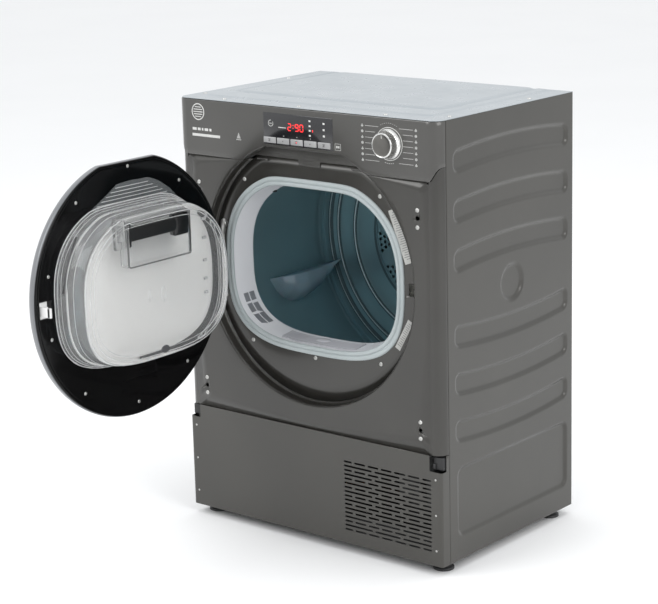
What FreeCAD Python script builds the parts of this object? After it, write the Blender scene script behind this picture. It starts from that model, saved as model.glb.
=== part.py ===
# Built-in clothes dryer with its door open: cabinet, drum and drive, heat pump, door with water tank.
# Frame in millimetres: origin on the floor under the middle of the cabinet, +X right, +Y back, +Z up.
import FreeCAD, Part
import math
import os
import re
import Sketcher
from FreeCAD import Placement, Rotation, Vector

doc = FreeCAD.newDocument("clothes_dryer")
sheet = doc.addObject("Spreadsheet::Sheet", "dims")

# ---------------------------------------------------------------- driving dimensions
SIZES = {
    # cabinet
    "width": 600, "front_face": -207, "rear_face": 207, "body_low": 18, "body_high": 816,
    "steel": 1.2, "plastic": 2.5, "seam": -185.5, "corner": 21, "corner_low": 5,
    "plinth_high": 222, "fascia_low": 708, "fascia_proud": 3, "running": 0.05,
    # door recess in the front panel
    "recess_radius": 243, "recess_z": 511, "recess_flat": 737.5, "recess_depth": 20,
    "web_low": 716, "web_set_back": 18,
    # loading opening, a rounded square that is fuller at the bottom
    "mouth_half": 209, "mouth_top": 682, "mouth_low": 357, "mouth_mid": 519.5, "mouth_crown": 172,
    "gasket_band": 14, "gasket_thick": 3.6, "collar_inset": 15, "collar_rear": -137,
    # drum, belt and motor
    "drum_z": 505, "drum_inner": 280, "drum_front": -131, "drum_rear": 183, "drum_axle": 10,
    "roller_radius": 24, "roller_angle": 35, "roller_width": 12, "roller_y": -120,
    "belt_thick": 2, "belt_wide": 8, "belt_y": 28, "pulley_radius": 10,
    "motor_x": 60, "motor_z": 105, "motor_radius": 52, "fan_radius": 76,
    # door, drawn swung open a quarter turn
    "hinge_x": -226, "hinge_y": -207, "door_y": -433, "door_z": 508, "door_radius": 237,
    "door_flat": 735, "ring_face": -210, "shell_face": -235, "ring_thick": 3, "pin_radius": 3,
    "tank_inset": 19, "tank_back": -209.7, "tank_proud": 68, "tank_draft": 8, "tank_wall": 2.2,
    "liner_inset": 30.4, "grip_low": 564, "grip_high": 640, "grip_front": -506, "grip_rear": -354,
    "grip_depth": 34, "bar_low": 607, "bar_high": 634,
    # controls
    "window_left": -87, "window_right": 74, "window_low": 743.5, "window_high": 801,
    "button_first": -71.5, "button_pitch": 31.6, "button_half": 14.2, "button_z": 751.7,
    "button_tall": 5.4, "button_travel": 1.5, "knob_x": 198, "knob_z": 767, "knob_radius": 22,
    "knob_skirt": 26.5, "knob_proud": 22, "knob_axle": 3,
    # grille in the plinth
    "slot_first": 45.5, "slot_pitch": 8.1, "slot_tall": 3.5,
    # feet
    "foot_x": 272, "foot_front": -168, "foot_rear": 170, "foot_radius": 19, "stud_radius": 4,
}
sheet.set("A1", "dimension")
sheet.set("B1", "value")
for row, (alias, number) in enumerate(SIZES.items(), start=2):
    sheet.set(f"A{row}", alias)
    sheet.set(f"B{row}", str(number))
    sheet.setAlias(f"B{row}", alias)
doc.recompute()

SUBPARTS = []


def size(alias):
    return float(sheet.get(alias))


def bound(text):
    """Turn words in a formula into references to the sheet of dimensions."""
    names = sorted(SIZES, key=len, reverse=True)
    return re.sub(r"\b(" + "|".join(names) + r")\b", r"dims.\1", text)


def bind(piece, **formulas):
    for name, text in formulas.items():
        piece.setExpression(name.replace("__", "."), bound(text))
    return piece


def keep(piece):
    """Mark a finished object as a sub-part that gets its own file."""
    SUBPARTS.append(piece)
    return piece


# ---------------------------------------------------------------- primitives with bound sizes
def block(name, x, y, z):
    piece = doc.addObject("Part::Box", name)
    for side, axis, (low, high) in (("Length", "x", x), ("Width", "y", y), ("Height", "z", z)):
        bind(piece, **{side: f"({high}) - ({low})", f"Placement__Base__{axis}": low})
    return piece


TURNS = {
    "x": Rotation(Vector(0, 1, 0), 90),
    "y": Rotation(Vector(1, 0, 0), -90),
    "z": Rotation(),
}


def rod(name, axis, at, radius, length):
    """Cylinder that starts at a point and runs along a positive axis."""
    piece = doc.addObject("Part::Cylinder", name)
    piece.Placement = Placement(Vector(), TURNS[axis])
    bind(piece, Radius=radius, Height=length, Placement__Base__x=at[0],
         Placement__Base__y=at[1], Placement__Base__z=at[2])
    return piece


def cone(name, axis, at, radius_1, radius_2, length):
    piece = doc.addObject("Part::Cone", name)
    piece.Placement = Placement(Vector(), TURNS[axis])
    bind(piece, Radius1=radius_1, Radius2=radius_2, Height=length, Placement__Base__x=at[0],
         Placement__Base__y=at[1], Placement__Base__z=at[2])
    return piece


def fuse(name, *pieces):
    joined = doc.addObject("Part::MultiFuse", name)
    joined.Shapes = list(pieces)
    return joined


def cut(name, base, *tools):
    result = doc.addObject("Part::Cut", name)
    result.Base = base
    result.Tool = tools[0] if len(tools) == 1 else fuse(name + "_tools", *tools)
    return result


def common(name, *pieces):
    shared = doc.addObject("Part::MultiCommon", name)
    shared.Shapes = list(pieces)
    return shared


def group(name, *pieces):
    """Like pieces that stay separate solids in one sub-part."""
    together = doc.addObject("Part::Compound", name)
    together.Links = list(pieces)
    return together


def moulded(name, shape):
    piece = doc.addObject("Part::Feature", name)
    piece.Shape = shape
    return piece


# ---------------------------------------------------------------- sketches with bound sizes
def new_body(label):
    return doc.addObject("PartDesign::Body", label)


def origin_plane(body, role):
    return next(plane for plane in body.Origin.OriginFeatures if plane.Role == role)


def sketch_on(body, name, role, offset="0"):
    """Sketch on one of the body's own origin planes, moved along the plane's normal."""
    drawing = body.newObject("Sketcher::SketchObject", name)
    drawing.AttachmentSupport = [(origin_plane(body, role), "")]
    drawing.MapMode = "FlatFace"
    bind(drawing, AttachmentOffset__Base__z=offset)
    return drawing


def constrain(drawing, kind, target, text):
    """Horizontal or vertical place of a point (geometry, position), bound to a formula."""
    index = drawing.addConstraint(Sketcher.Constraint(kind, -1, 1, *target, 1.0))
    drawing.setExpression(f"Constraints[{index}]", bound(text))


def rectangle(drawing, x, y):
    corners = [Vector(0, 0, 0), Vector(1, 0, 0), Vector(1, 1, 0), Vector(0, 1, 0)]
    first = drawing.GeometryCount
    for k in range(4):
        drawing.addGeometry(Part.LineSegment(corners[k], corners[(k + 1) % 4]), False)
    for k in range(4):
        drawing.addConstraint(Sketcher.Constraint("Coincident", first + k, 2, first + (k + 1) % 4, 1))
    for k in range(4):
        way = "Horizontal" if k % 2 == 0 else "Vertical"
        drawing.addConstraint(Sketcher.Constraint(way, first + k))
    constrain(drawing, "DistanceX", (first, 1), x[0])
    constrain(drawing, "DistanceY", (first, 1), y[0])
    constrain(drawing, "DistanceX", (first + 1, 2), x[1])
    constrain(drawing, "DistanceY", (first + 1, 2), y[1])


def circle(drawing, x, y, radius):
    index = drawing.addGeometry(Part.Circle(Vector(1, 1, 0), Vector(0, 0, 1), 1.0), False)
    constrain(drawing, "DistanceX", (index, 3), x)
    constrain(drawing, "DistanceY", (index, 3), y)
    turn = drawing.addConstraint(Sketcher.Constraint("Radius", index, 1.0))
    drawing.setExpression(f"Constraints[{turn}]", bound(radius))


def flat_topped_disc(drawing, x, y, radius, top):
    """Circle cut off by a level chord; x, y, radius and top are (formula, value) pairs."""
    half = math.sqrt(radius[1] ** 2 - (top[1] - y[1]) ** 2)
    right = Vector(x[1] + half, top[1], 0)
    left = Vector(x[1] - half, top[1], 0)
    bottom = Vector(x[1], y[1] - radius[1], 0)
    curve = drawing.addGeometry(Part.Arc(left, bottom, right), False)
    chord = drawing.addGeometry(Part.LineSegment(right, left), False)
    drawing.addConstraint(Sketcher.Constraint("Coincident", curve, 2, chord, 1))
    drawing.addConstraint(Sketcher.Constraint("Coincident", curve, 1, chord, 2))
    drawing.addConstraint(Sketcher.Constraint("Horizontal", chord))
    constrain(drawing, "DistanceX", (curve, 3), x[0])
    constrain(drawing, "DistanceY", (curve, 3), y[0])
    constrain(drawing, "DistanceY", (chord, 1), top[0])
    turn = drawing.addConstraint(Sketcher.Constraint("Radius", curve, radius[1]))
    drawing.setExpression(f"Constraints[{turn}]", bound(radius[0]))


def pad(body, drawing, length, backwards=False):
    feature = body.newObject("PartDesign::Pad", drawing.Name + "_pad")
    feature.Profile = drawing
    feature.Reversed = backwards
    bind(feature, Length=length)
    body.Tip = feature
    return feature


def pocket(body, drawing, length, backwards=False):
    """Cut a profile out of the body and make sure that it took material away."""
    doc.recompute()
    before = body.Shape.Volume
    feature = body.newObject("PartDesign::Pocket", drawing.Name + "_pocket")
    feature.Profile = drawing
    feature.Reversed = backwards
    bind(feature, Length=length)
    body.Tip = feature
    doc.recompute()
    assert body.Shape.Volume < before - 1, f"{drawing.Name} cuts nothing"
    return feature


def revolve(body, role, name, points):
    """Turn a closed outline of (radius, along) formula and value pairs about the drum's axis way, +Y."""
    drawing = sketch_on(body, name, role)
    first = drawing.GeometryCount
    count = len(points)
    spots = [Vector(radius[1], along[1], 0) for radius, along in points]
    for k in range(count):
        drawing.addGeometry(Part.LineSegment(spots[k], spots[(k + 1) % count]), False)
    for k in range(count):
        drawing.addConstraint(
            Sketcher.Constraint("Coincident", first + k, 2, first + (k + 1) % count, 1))
    for k, (radius, along) in enumerate(points):
        constrain(drawing, "DistanceX", (first + k, 1), radius[0])
        constrain(drawing, "DistanceY", (first + k, 1), along[0])
    feature = body.newObject("PartDesign::Revolution", name + "_turn")
    feature.Profile = drawing
    feature.ReferenceAxis = (drawing, ["V_Axis"])
    feature.Angle = 360
    body.Tip = feature
    return feature


def number_pairs(points):
    return [((str(radius), radius), (str(along), along)) for radius, along in points]


def edges_where(shape, test):
    return [f"Edge{k + 1}" for k, edge in enumerate(shape.Edges) if test(edge)]


def faces_where(shape, test):
    return [f"Face{k + 1}" for k, face in enumerate(shape.Faces) if test(face)]


def is_upright(edge):
    ends = [vertex.Point for vertex in edge.Vertexes]
    return len(ends) == 2 and abs(ends[0].x - ends[1].x) < 0.01 and abs(ends[0].y - ends[1].y) < 0.01


def wrapped_front(label, front, low, high, corner, wall):
    """Front skin that turns round both upright corners and ends at the seam with the side panels."""
    body = new_body(label)
    outline = sketch_on(body, label + "_outline", "XY_Plane", low)
    rectangle(outline, ("-width/2", "width/2"), (front, "seam"))
    block_pad = pad(body, outline, f"({high}) - ({low})")
    doc.recompute()
    shape = block_pad.Shape
    lead = shape.BoundBox.YMin
    rounding = body.newObject("PartDesign::Fillet", label + "_corners")
    rounding.Base = (block_pad, edges_where(
        shape, lambda edge: is_upright(edge) and abs(edge.CenterOfMass.y - lead) < 0.01))
    bind(rounding, Radius=corner)
    body.Tip = rounding
    doc.recompute()
    shape = rounding.Shape
    box = shape.BoundBox
    skin = body.newObject("PartDesign::Thickness", label + "_skin")
    skin.Base = (rounding, faces_where(shape, lambda face: abs(face.CenterOfMass.y - box.YMax) < 0.01
                                       or abs(face.CenterOfMass.z - box.ZMax) < 0.01
                                       or abs(face.CenterOfMass.z - box.ZMin) < 0.01))
    skin.Reversed = True
    bind(skin, Value=wall)
    body.Tip = skin
    doc.recompute()
    return body


# ---------------------------------------------------------------- the rounded square of the mouth
def mouth_wire(inset, to_point):
    """Closed curve at an even inset from the gasket's outer edge, as (across, height) mapped by to_point."""
    half = size("mouth_half") - inset
    middle = size("mouth_mid")
    top = size("mouth_top") - middle - inset
    low = middle - size("mouth_low") - inset
    crown = size("mouth_crown") - inset
    points = []
    steps = 48
    for k in range(steps):
        turn = 2 * math.pi * k / steps
        power = 2.385 if math.sin(turn) >= 0 else 3.2
        reach = crown if math.sin(turn) >= 0 else low
        across = half * math.copysign(abs(math.cos(turn)) ** (2 / power), math.cos(turn))
        height = reach * math.copysign(abs(math.sin(turn)) ** (2 / power), math.sin(turn))
        points.append(to_point(across, middle + min(height, top)))
    curve = Part.BSplineCurve()
    curve.interpolate(Points=points, PeriodicFlag=True)
    return Part.Wire([curve.toShape()])


def facing_front(y):
    return lambda across, height: Vector(across, y, height)


def on_open_door(x):
    return lambda across, height: Vector(x, size("door_y") - across, height)


def mouth_prism(inset, start, end, place=facing_front):
    """Straight column of the mouth's outline between two planes."""
    flat = Part.Face(mouth_wire(inset, place(start)))
    way = Vector(0, end - start, 0) if place is facing_front else Vector(end - start, 0, 0)
    return flat.extrude(way)


def mouth_stack(sections, place=facing_front):
    """Straight-sided solid through the mouth's outline at several (inset, plane) pairs."""
    wires = [mouth_wire(inset, place(plane)) for inset, plane in sections]
    return Part.makeLoft(wires, True, True)


def mouth_loft(inset_1, start, inset_2, end, place=facing_front):
    return mouth_stack(((inset_1, start), (inset_2, end)), place)


RECESS_FLOOR = size("front_face") + size("recess_depth")
COLLAR_INSET = size("collar_inset")


# ---------------------------------------------------------------- cabinet skins
def pressed_band(y_mid, z_mid, half_long, half_tall, rise, depth, x_face, inward):
    """Shallow arched swage; a positive rise arches it upwards."""
    def edge_arc(z_edge, left_first):
        ends = [Vector(x_face, y_mid - half_long, z_edge - rise),
                Vector(x_face, y_mid + half_long, z_edge - rise)]
        if not left_first:
            ends.reverse()
        return Part.Arc(ends[0], Vector(x_face, y_mid, z_edge), ends[1]).toShape()
    upper = edge_arc(z_mid + half_tall, True)
    lower = edge_arc(z_mid - half_tall, False)
    side_1 = Part.LineSegment(upper.lastVertex().Point, lower.firstVertex().Point).toShape()
    side_2 = Part.LineSegment(lower.lastVertex().Point, upper.firstVertex().Point).toShape()
    face = Part.Face(Part.Wire([upper, side_1, lower, side_2]))
    return face.extrude(Vector(inward * depth, 0, 0))


def make_side_panel(label, hand):
    """Full-height steel side with six arched swages, a round one and a low rectangle pressed inwards."""
    outer = hand * size("width") / 2
    steel = size("steel")
    press = 2.5
    y_low = size("seam")
    y_high = size("rear_face")
    low = size("body_low")
    high = size("body_high") - 4
    plate = Part.makeBox(steel, y_high - y_low, high - low,
                         Vector(min(outer, outer - hand * steel), y_low, low))
    swages = []
    for z_mid, rise in ((747, 10), (660, 10), (573, 10), (420, -10), (334, -10), (248, -10)):
        swages.append((12, z_mid, 173, 17.5, rise))
    swages.append((12, 126, 174, 62, 0.001))
    for grow, depth, add in ((steel, press + steel, True), (0, press, False)):
        for y_mid, z_mid, half_long, half_tall, rise in swages:
            tool = pressed_band(y_mid, z_mid, half_long + grow, half_tall + grow, rise, depth, outer, -hand)
            plate = plate.fuse(tool) if add else plate.cut(tool)
        boss = Part.makeCylinder(32 + grow, depth, Vector(outer, 10, 495), Vector(-hand, 0, 0))
        plate = plate.fuse(boss) if add else plate.cut(boss)
    keep(moulded(label, plate.removeSplitter()))


def make_top_panel():
    """Steel lid with two raised steps."""
    lid = block("lid", ("-width/2", "width/2"), ("front_face", "rear_face"),
                ("body_high-4", "body_high-2.8"))
    step_1 = block("lid_step_1", ("-275", "255"), ("front_face+42", "rear_face-4"),
                   ("body_high-3", "body_high-1.5"))
    step_2 = block("lid_step_2", ("-240", "220"), ("-100", "rear_face-8"), ("body_high-1.6", "body_high"))
    keep(fuse("top_panel", lid, step_1, step_2))


def make_front_panel():
    """Painted front skin with the round door recess drawn into it and the loading mouth cut out."""
    body = wrapped_front("front_skin", "front_face", "plinth_high+0.4", "fascia_low", "corner", "1.5")
    centre = (("0", 0), ("recess_z", size("recess_z")))
    flat = ("recess_flat", size("recess_flat"))
    dish = sketch_on(body, "dish", "XZ_Plane", "-seam")
    radius = ("recess_radius+1.5", size("recess_radius") + 1.5)
    flat_topped_disc(dish, *centre, radius, flat)
    pad(body, dish, "seam - front_face")
    hollow = sketch_on(body, "dish_hollow", "XZ_Plane", "-front_face")
    flat_topped_disc(hollow, *centre, ("recess_radius", size("recess_radius")), flat)
    pocket(body, hollow, "recess_depth")
    above = sketch_on(body, "above_web", "XZ_Plane", "-front_face")
    rectangle(above, ("-width/2", "width/2"), ("web_low+0.5", "recess_flat+1"))
    pocket(body, above, "seam - front_face + 1")
    latch = sketch_on(body, "latch_slot", "XZ_Plane", "-front_face")
    rectangle(latch, ("218", "229.5"), ("496.5", "519.5"))
    pocket(body, latch, "30")
    holes = sketch_on(body, "fixing_holes", "XZ_Plane", "-front_face")
    for side in (-1, 1):
        for z in (264, 643):
            circle(holes, str(254 * side), str(z), "4")
    pocket(body, holes, "10")
    mouth = moulded("mouth_tool", mouth_prism(COLLAR_INSET, RECESS_FLOOR - 5, size("seam") + 5))
    keep(cut("front_panel", body, mouth))


def make_fascia():
    """Control fascia moulding, cut away over the door, with a set-back web and its centre tab."""
    body = wrapped_front("fascia_skin", "front_face-fascia_proud", "fascia_low", "body_high-4.2",
                         "corner+2", "2.5")
    scoop = sketch_on(body, "scoop", "XZ_Plane", "-front_face+fascia_proud")
    flat_topped_disc(scoop, ("0", 0), ("recess_z", size("recess_z")),
                     ("recess_radius", size("recess_radius")), ("recess_flat", size("recess_flat")))
    pocket(body, scoop, "recess_depth + 10")
    window = sketch_on(body, "window_hole", "XZ_Plane", "-front_face+fascia_proud")
    rectangle(window, ("window_left-0.2", "window_right+0.2"), ("window_low-0.2", "window_high+0.2"))
    pocket(body, window, "8")
    axle = sketch_on(body, "knob_hole", "XZ_Plane", "-front_face+fascia_proud")
    circle(axle, "knob_x", "knob_z", "knob_axle+0.8")
    pocket(body, axle, "8")
    web = block("web", ("-140", "140"), ("front_face+web_set_back", "front_face+web_set_back+1.4"),
                ("web_low", "recess_flat+1"))
    tab = block("web_tab", ("-24", "24"), ("front_face+web_set_back", "front_face+web_set_back+1.4"),
                ("web_low-10", "web_low+1"))
    lintel = block("lintel", ("-94", "94"), ("front_face-fascia_proud", "front_face+web_set_back+1.4"),
                   ("recess_flat", "recess_flat+2"))
    inside = rod("web_round", "y", ("0", "front_face", "recess_z"), "recess_radius-0.4", "40")
    trimmed = common("web_trimmed", web, inside)
    keep(fuse("control_fascia", body, trimmed, tab, lintel))


def make_display():
    """Black window with five button openings, and the control board behind it."""
    glass = block("glass", ("window_left", "window_right"), ("front_face-4", "front_face-1"),
                  ("window_low", "window_high"))
    holes = []
    for k in range(5):
        middle = f"button_first+{k}*button_pitch"
        holes.append(block(f"button_hole_{k}", (f"{middle}-button_half-0.4", f"{middle}+button_half+0.4"),
                           ("front_face-10", "front_face+10"),
                           ("button_z-button_tall-0.4", "button_z+button_tall+0.4")))
    keep(cut("display_window", glass, *holes))
    board = block("board", ("-130", "245"), ("front_face+14", "front_face+15.6"), ("742", "802"))
    plug = block("board_plug", ("90", "135"), ("front_face+15.6", "front_face+27"), ("765", "790"))
    socket = rod("knob_socket", "y", ("knob_x", "front_face+6", "knob_z"), "8", "8")
    bore = rod("knob_bore", "y", ("knob_x", "front_face+5", "knob_z"), "knob_axle+running", "8")
    encoder = cut("encoder", socket, bore)
    switches = [block(f"switch_{k}", (f"button_first+{k}*button_pitch-3",
                                      f"button_first+{k}*button_pitch+3"),
                      ("front_face+9.5", "front_face+14"), ("button_z-3", "button_z+3")) for k in range(5)]
    keep(fuse("control_board", board, plug, encoder, *switches))


def make_buttons():
    for k in range(5):
        middle = f"button_first+{k}*button_pitch"
        cap = block(f"cap_{k}", (f"{middle}-button_half", f"{middle}+button_half"),
                    ("front_face-5.8", "front_face+1"), ("button_z-button_tall", "button_z+button_tall"))
        stem = block(f"stem_{k}", (f"{middle}-4", f"{middle}+4"),
                     ("front_face+0.5", "front_face+9.1-button_travel"),
                     ("button_z-3", "button_z+3"))
        keep(fuse(f"option_button_{k + 1}", cap, stem))


def make_knob():
    """Programme knob: flared skirt, straight grip, dished face and the axle that enters the switch."""
    proud = size("knob_proud")
    face = size("knob_radius")
    skirt = size("knob_skirt")
    body = new_body("programme_knob")
    axle = size("knob_axle")
    outline = number_pairs([(0.0, 0.0), (face - 2.5, 0.0), (face - 2.0, 1.2), (face, 1.2), (face, 8.0),
                            (face + 1.2, 14.0), (skirt, proud - 2.5), (skirt, proud - 0.6),
                            (axle, proud - 0.6), (axle, proud + 14.5), (0.0, proud + 14.5)])
    revolve(body, "XY_Plane", "knob_outline", outline)
    bind(body, Placement__Base__x="knob_x", Placement__Base__z="knob_z",
         Placement__Base__y="front_face - fascia_proud - knob_proud")
    keep(body)


def make_plinth():
    """Lower front panel with a notch in each top corner and a grille of short staggered slots."""
    body = wrapped_front("plinth_panel", "front_face-1", "body_low", "plinth_high", "corner_low", "1.5")
    notches = sketch_on(body, "notches", "XZ_Plane", "-front_face+1")
    rectangle(notches, ("-width/2-1", "-width/2+25"), ("plinth_high-26", "plinth_high+1"))
    rectangle(notches, ("width/2-27", "width/2+1"), ("plinth_high-29", "plinth_high+1"))
    pocket(body, notches, "14")
    screws = sketch_on(body, "plinth_holes", "XZ_Plane", "-front_face+1")
    for x in (-286, 286):
        for z in (47, 113, 179):
            circle(screws, str(x), str(z), "2")
    pocket(body, screws, "10")
    rows = (("odd", 0, 9, ((79, 97), (103, 128), (134, 158), (164, 188), (194, 219), (225, 250),
                           (257, 276))),
            ("even", 1, 8, ((79, 143), (149.5, 206), (212.5, 276))))
    for name, start, count, slots in rows:
        row = sketch_on(body, f"{name}_slots", "XZ_Plane", "-front_face+1")
        for left, right in slots:
            rectangle(row, (str(left), str(right)), (f"slot_first+{start}*slot_pitch-slot_tall/2",
                                                    f"slot_first+{start}*slot_pitch+slot_tall/2"))
        first = pocket(body, row, "6")
        stack = body.newObject("PartDesign::LinearPattern", f"{name}_rows")
        stack.Originals = [first]
        stack.Direction = (row, ["V_Axis"])
        bind(stack, Length=f"{count - 1}*2*slot_pitch")
        stack.Occurrences = count
        body.Tip = stack
        doc.recompute()
    keep(body)


def make_rear():
    """Rear wall with air holes round the bearing, and the bulging air duct cover over them."""
    body = new_body("rear_panel")
    plate = sketch_on(body, "rear_plate", "XZ_Plane", "-rear_face")
    rectangle(plate, ("-width/2+steel", "width/2-steel"), ("body_low", "body_high-4.2"))
    pad(body, plate, "steel")
    holes = sketch_on(body, "air_holes", "XZ_Plane", "-rear_face")
    for k in range(8):
        turn = math.radians(22.5 + 45 * k)
        circle(holes, f"{130 * math.cos(turn):.4f}", f"drum_z + {130 * math.sin(turn):.4f}", "30")
    circle(holes, "0", "drum_z", "drum_axle+4")
    rectangle(holes, ("motor_x-60", "motor_x+60"), ("150", "213"))
    pocket(body, holes, "steel*2", True)
    keep(body)
    bulge = rod("bulge", "y", ("0", "rear_face", "drum_z"), "195", "45")
    neck = block("neck", ("motor_x-100", "motor_x+100"), ("rear_face", "rear_face+45"), ("60", "drum_z"))
    room = rod("bulge_room", "y", ("0", "rear_face-1", "drum_z"), "193", "44")
    neck_room = block("neck_room", ("motor_x-98", "motor_x+98"), ("rear_face-1", "rear_face+43"),
                      ("62", "drum_z"))
    keep(cut("rear_duct_cover", fuse("cover_out", bulge, neck), room, neck_room))
    gland = rod("gland", "y", ("-240", "rear_face", "700"), "9", "14")
    nut = rod("gland_flange", "y", ("-240", "rear_face", "700"), "14", "4")
    lead = rod("gland_bore", "y", ("-240", "rear_face-1", "700"), "4.2", "20")
    keep(cut("cable_inlet", fuse("gland_out", gland, nut), lead))


def make_base():
    """Moulded base tray with the threaded sockets for the feet."""
    out = block("tray_out", ("-width/2+2", "width/2-2"), ("seam+1", "rear_face-2"), ("body_low-1", "62"))
    room = block("tray_room", ("-width/2+5", "width/2-5"), ("seam+4", "rear_face-5"), ("body_low+2.5", "70"))
    bosses = []
    bores = []
    for k, (x, y) in enumerate(FEET):
        bosses.append(rod(f"boss_{k}", "z", (x, y, "body_low-1"), "12", "30"))
        bores.append(rod(f"boss_bore_{k}", "z", (x, y, "body_low-5"), "stud_radius+running", "60"))
    limit = block("tray_limit", ("-width/2+2", "width/2-2"), ("-184.5", "rear_face-2"), ("body_low-1", "62"))
    filled = fuse("tray_filled", cut("tray_shell", out, room), *bosses)
    keep(cut("base_tray", common("tray_inside", filled, limit), *bores))


FEET = (("-foot_x", "foot_front"), ("foot_x", "foot_front"), ("-foot_x", "foot_rear"),
        ("foot_x", "foot_rear"))
FOOT_NAMES = ("foot_front_left", "foot_front_right", "foot_rear_left", "foot_rear_right")


def make_feet():
    """Four screw feet: a flared pad, a hexagon neck and a threaded stud."""
    for name, (x, y) in zip(FOOT_NAMES, FEET):
        sole = rod(name + "_sole", "z", (x, y, "0"), "foot_radius", "5")
        flare = cone(name + "_flare", "z", (x, y, "5"), "foot_radius", "foot_radius-6", "7")
        neck = rod(name + "_neck", "z", (x, y, "12"), "9", "4")
        stud = rod(name + "_stud", "z", (x, y, "16"), "stud_radius", "34")
        keep(fuse(name, sole, flare, neck, stud))


# ---------------------------------------------------------------- loading mouth
def make_bulkhead():
    """Front bulkhead plate with the pale collar that leads from the gasket to the drum."""
    rear = size("collar_rear")
    plate = block("bulkhead_plate", ("-width/2+14", "width/2-14"), ("collar_rear-2", "collar_rear"),
                  ("232", "796"))
    collar = moulded("collar_out", mouth_loft(COLLAR_INSET - 2.5, size("seam"), COLLAR_INSET + 3.5, rear))
    room = moulded("collar_room", mouth_loft(COLLAR_INSET, size("seam"), COLLAR_INSET + 6, rear))
    slot = block("filter_slot", ("-84", "84"), ("-175", "-149"), ("350", "392"))
    keep(cut("front_bulkhead", fuse("bulkhead_whole", plate, collar), room, slot))
    shell = block("filter_box", ("-92", "92"), ("-180", "-143"), ("236", "368"))
    inner = block("filter_room", ("-89.5", "89.5"), ("-177.5", "-145.5"), ("238.5", "375"))
    outlet = block("filter_outlet", ("-80", "80"), ("-146", "-142"), ("240", "300"))
    keep(cut("filter_housing", shell, inner, outlet, moulded("collar_clear",
             mouth_prism(COLLAR_INSET - 3, size("seam") - 5, rear + 5))))


def make_gasket():
    """Pale rubber ring on the recess floor with a lip that lines the start of the collar."""
    front = RECESS_FLOOR - size("gasket_thick")
    ring = mouth_prism(0, RECESS_FLOOR, front)
    lip = mouth_prism(COLLAR_INSET, size("seam") + 0.5, RECESS_FLOOR)
    room = mouth_prism(size("gasket_band") + 2.5, size("seam") + 6, front - 5)
    keep(moulded("door_gasket", ring.fuse(lip).cut(room).removeSplitter()))


def make_filter():
    """Lint filter: cap with a grip bump on a mesh frame that drops into its slot."""
    cap = block("filter_cap_area", ("-88", "88"), ("-178", "-147"), ("360", "390"))
    bump = cone("filter_bump", "z", ("-3", "-157", "377"), "8.5", "6", "3")
    frame = block("filter_frame", ("-81", "81"), ("-172", "-152"), ("243", "376"))
    window = block("filter_window", ("-75", "75"), ("-170", "-154"), ("249", "366"))
    faces = block("filter_faces", ("-72", "72"), ("-180", "-140"), ("252", "363"))
    bars = [block(f"filter_bar_{k}", (f"{-50 + 50 * k - 2}", f"{-50 + 50 * k + 2}"), ("-172", "-152"),
                  ("246", "370")) for k in range(3)]
    mesh = block("filter_mesh", ("-76", "76"), ("-168.8", "-168"), ("248", "367"))
    body = cut("filter_body", frame, window, faces)
    floor = mouth_loft(COLLAR_INSET + 0.4, size("seam"), COLLAR_INSET + 6.4, size("collar_rear"))
    above = mouth_loft(COLLAR_INSET + 2.4, size("seam"), COLLAR_INSET + 8.4, size("collar_rear"))
    cap_fit = common("filter_cap_fit", cap, moulded("filter_cap_sheet", floor.cut(above)))
    keep(fuse("lint_filter", cap_fit, bump, body, mesh, *bars))


def make_collar_fittings():
    lamp = block("lamp_block", ("-134", "-125"), ("-141", "-134.5"), ("638.5", "649"))
    lens = rod("lamp_lens", "y", ("-129.5", "-134.6", "643.5"), "3.5", "2")
    keep(fuse("drum_lamp", lamp, lens))


# ---------------------------------------------------------------- drum
def make_drum():
    body = new_body("drum_shell")
    wall = size("drum_inner")
    front = size("drum_front")
    rear = size("drum_rear")
    skin = 1.2
    outline = number_pairs([(wall - 8, front), (wall + skin, front), (wall + skin, rear), (wall, rear),
                            (wall, front + skin), (wall - 8, front + skin)])
    revolve(body, "XY_Plane", "drum_outline", outline)
    bind(body, Placement__Base__z="drum_z")
    keep(body)
    plate = new_body("drum_back_plate")
    deep = rear - 7
    front_side = [(0.0, rear - 1), (116.0, rear - 1), (120.0, rear - 5), (158.0, rear - 5),
                  (162.0, rear - 1),
                  (205.0, rear - 1), (209.0, deep), (240.0, deep), (246.0, rear - 1), (262.0, rear - 1),
                  (266.0, deep), (279.7, deep)]
    back_side = [(279.7, deep + 1.2), (267.0, deep + 1.2), (263.0, rear + 0.2), (245.0, rear + 0.2),
                 (239.0, deep + 1.2), (210.0, deep + 1.2), (206.0, rear + 0.2), (161.0, rear + 0.2),
                 (157.0, rear - 3.8), (121.0, rear - 3.8), (117.0, rear + 0.2), (0.0, rear + 0.2)]
    revolve(plate, "XY_Plane", "plate_outline", number_pairs(front_side + back_side))
    bind(plate, Placement__Base__z="drum_z")
    doc.recompute()
    holes = sketch_on(plate, "plate_holes", "XZ_Plane", "-drum_rear-2")
    for radius, turn in ((128, -6), (128, 0), (128, 6), (139, -3), (139, 3), (149, -6), (149, 0), (149, 6)):
        angle = math.radians(turn)
        circle(holes, f"{radius * math.cos(angle):.4f}", f"{radius * math.sin(angle):.4f}", "3.4")
    first = pocket(plate, holes, "12", True)
    ring = plate.newObject("PartDesign::PolarPattern", "plate_hole_ring")
    ring.Originals = [first]
    ring.Axis = (holes, ["N_Axis"])
    ring.Angle = 360
    ring.Occurrences = 12
    plate.Tip = ring
    keep(plate)
    make_lifters()
    flange = rod("shaft_flange", "y", ("0", "drum_rear+0.2", "drum_z"), "45", "3")
    axle = rod("shaft_axle", "y", ("0", "drum_rear+0.2", "drum_z"), "drum_axle", "22")
    keep(fuse("drum_shaft", flange, axle))


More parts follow.
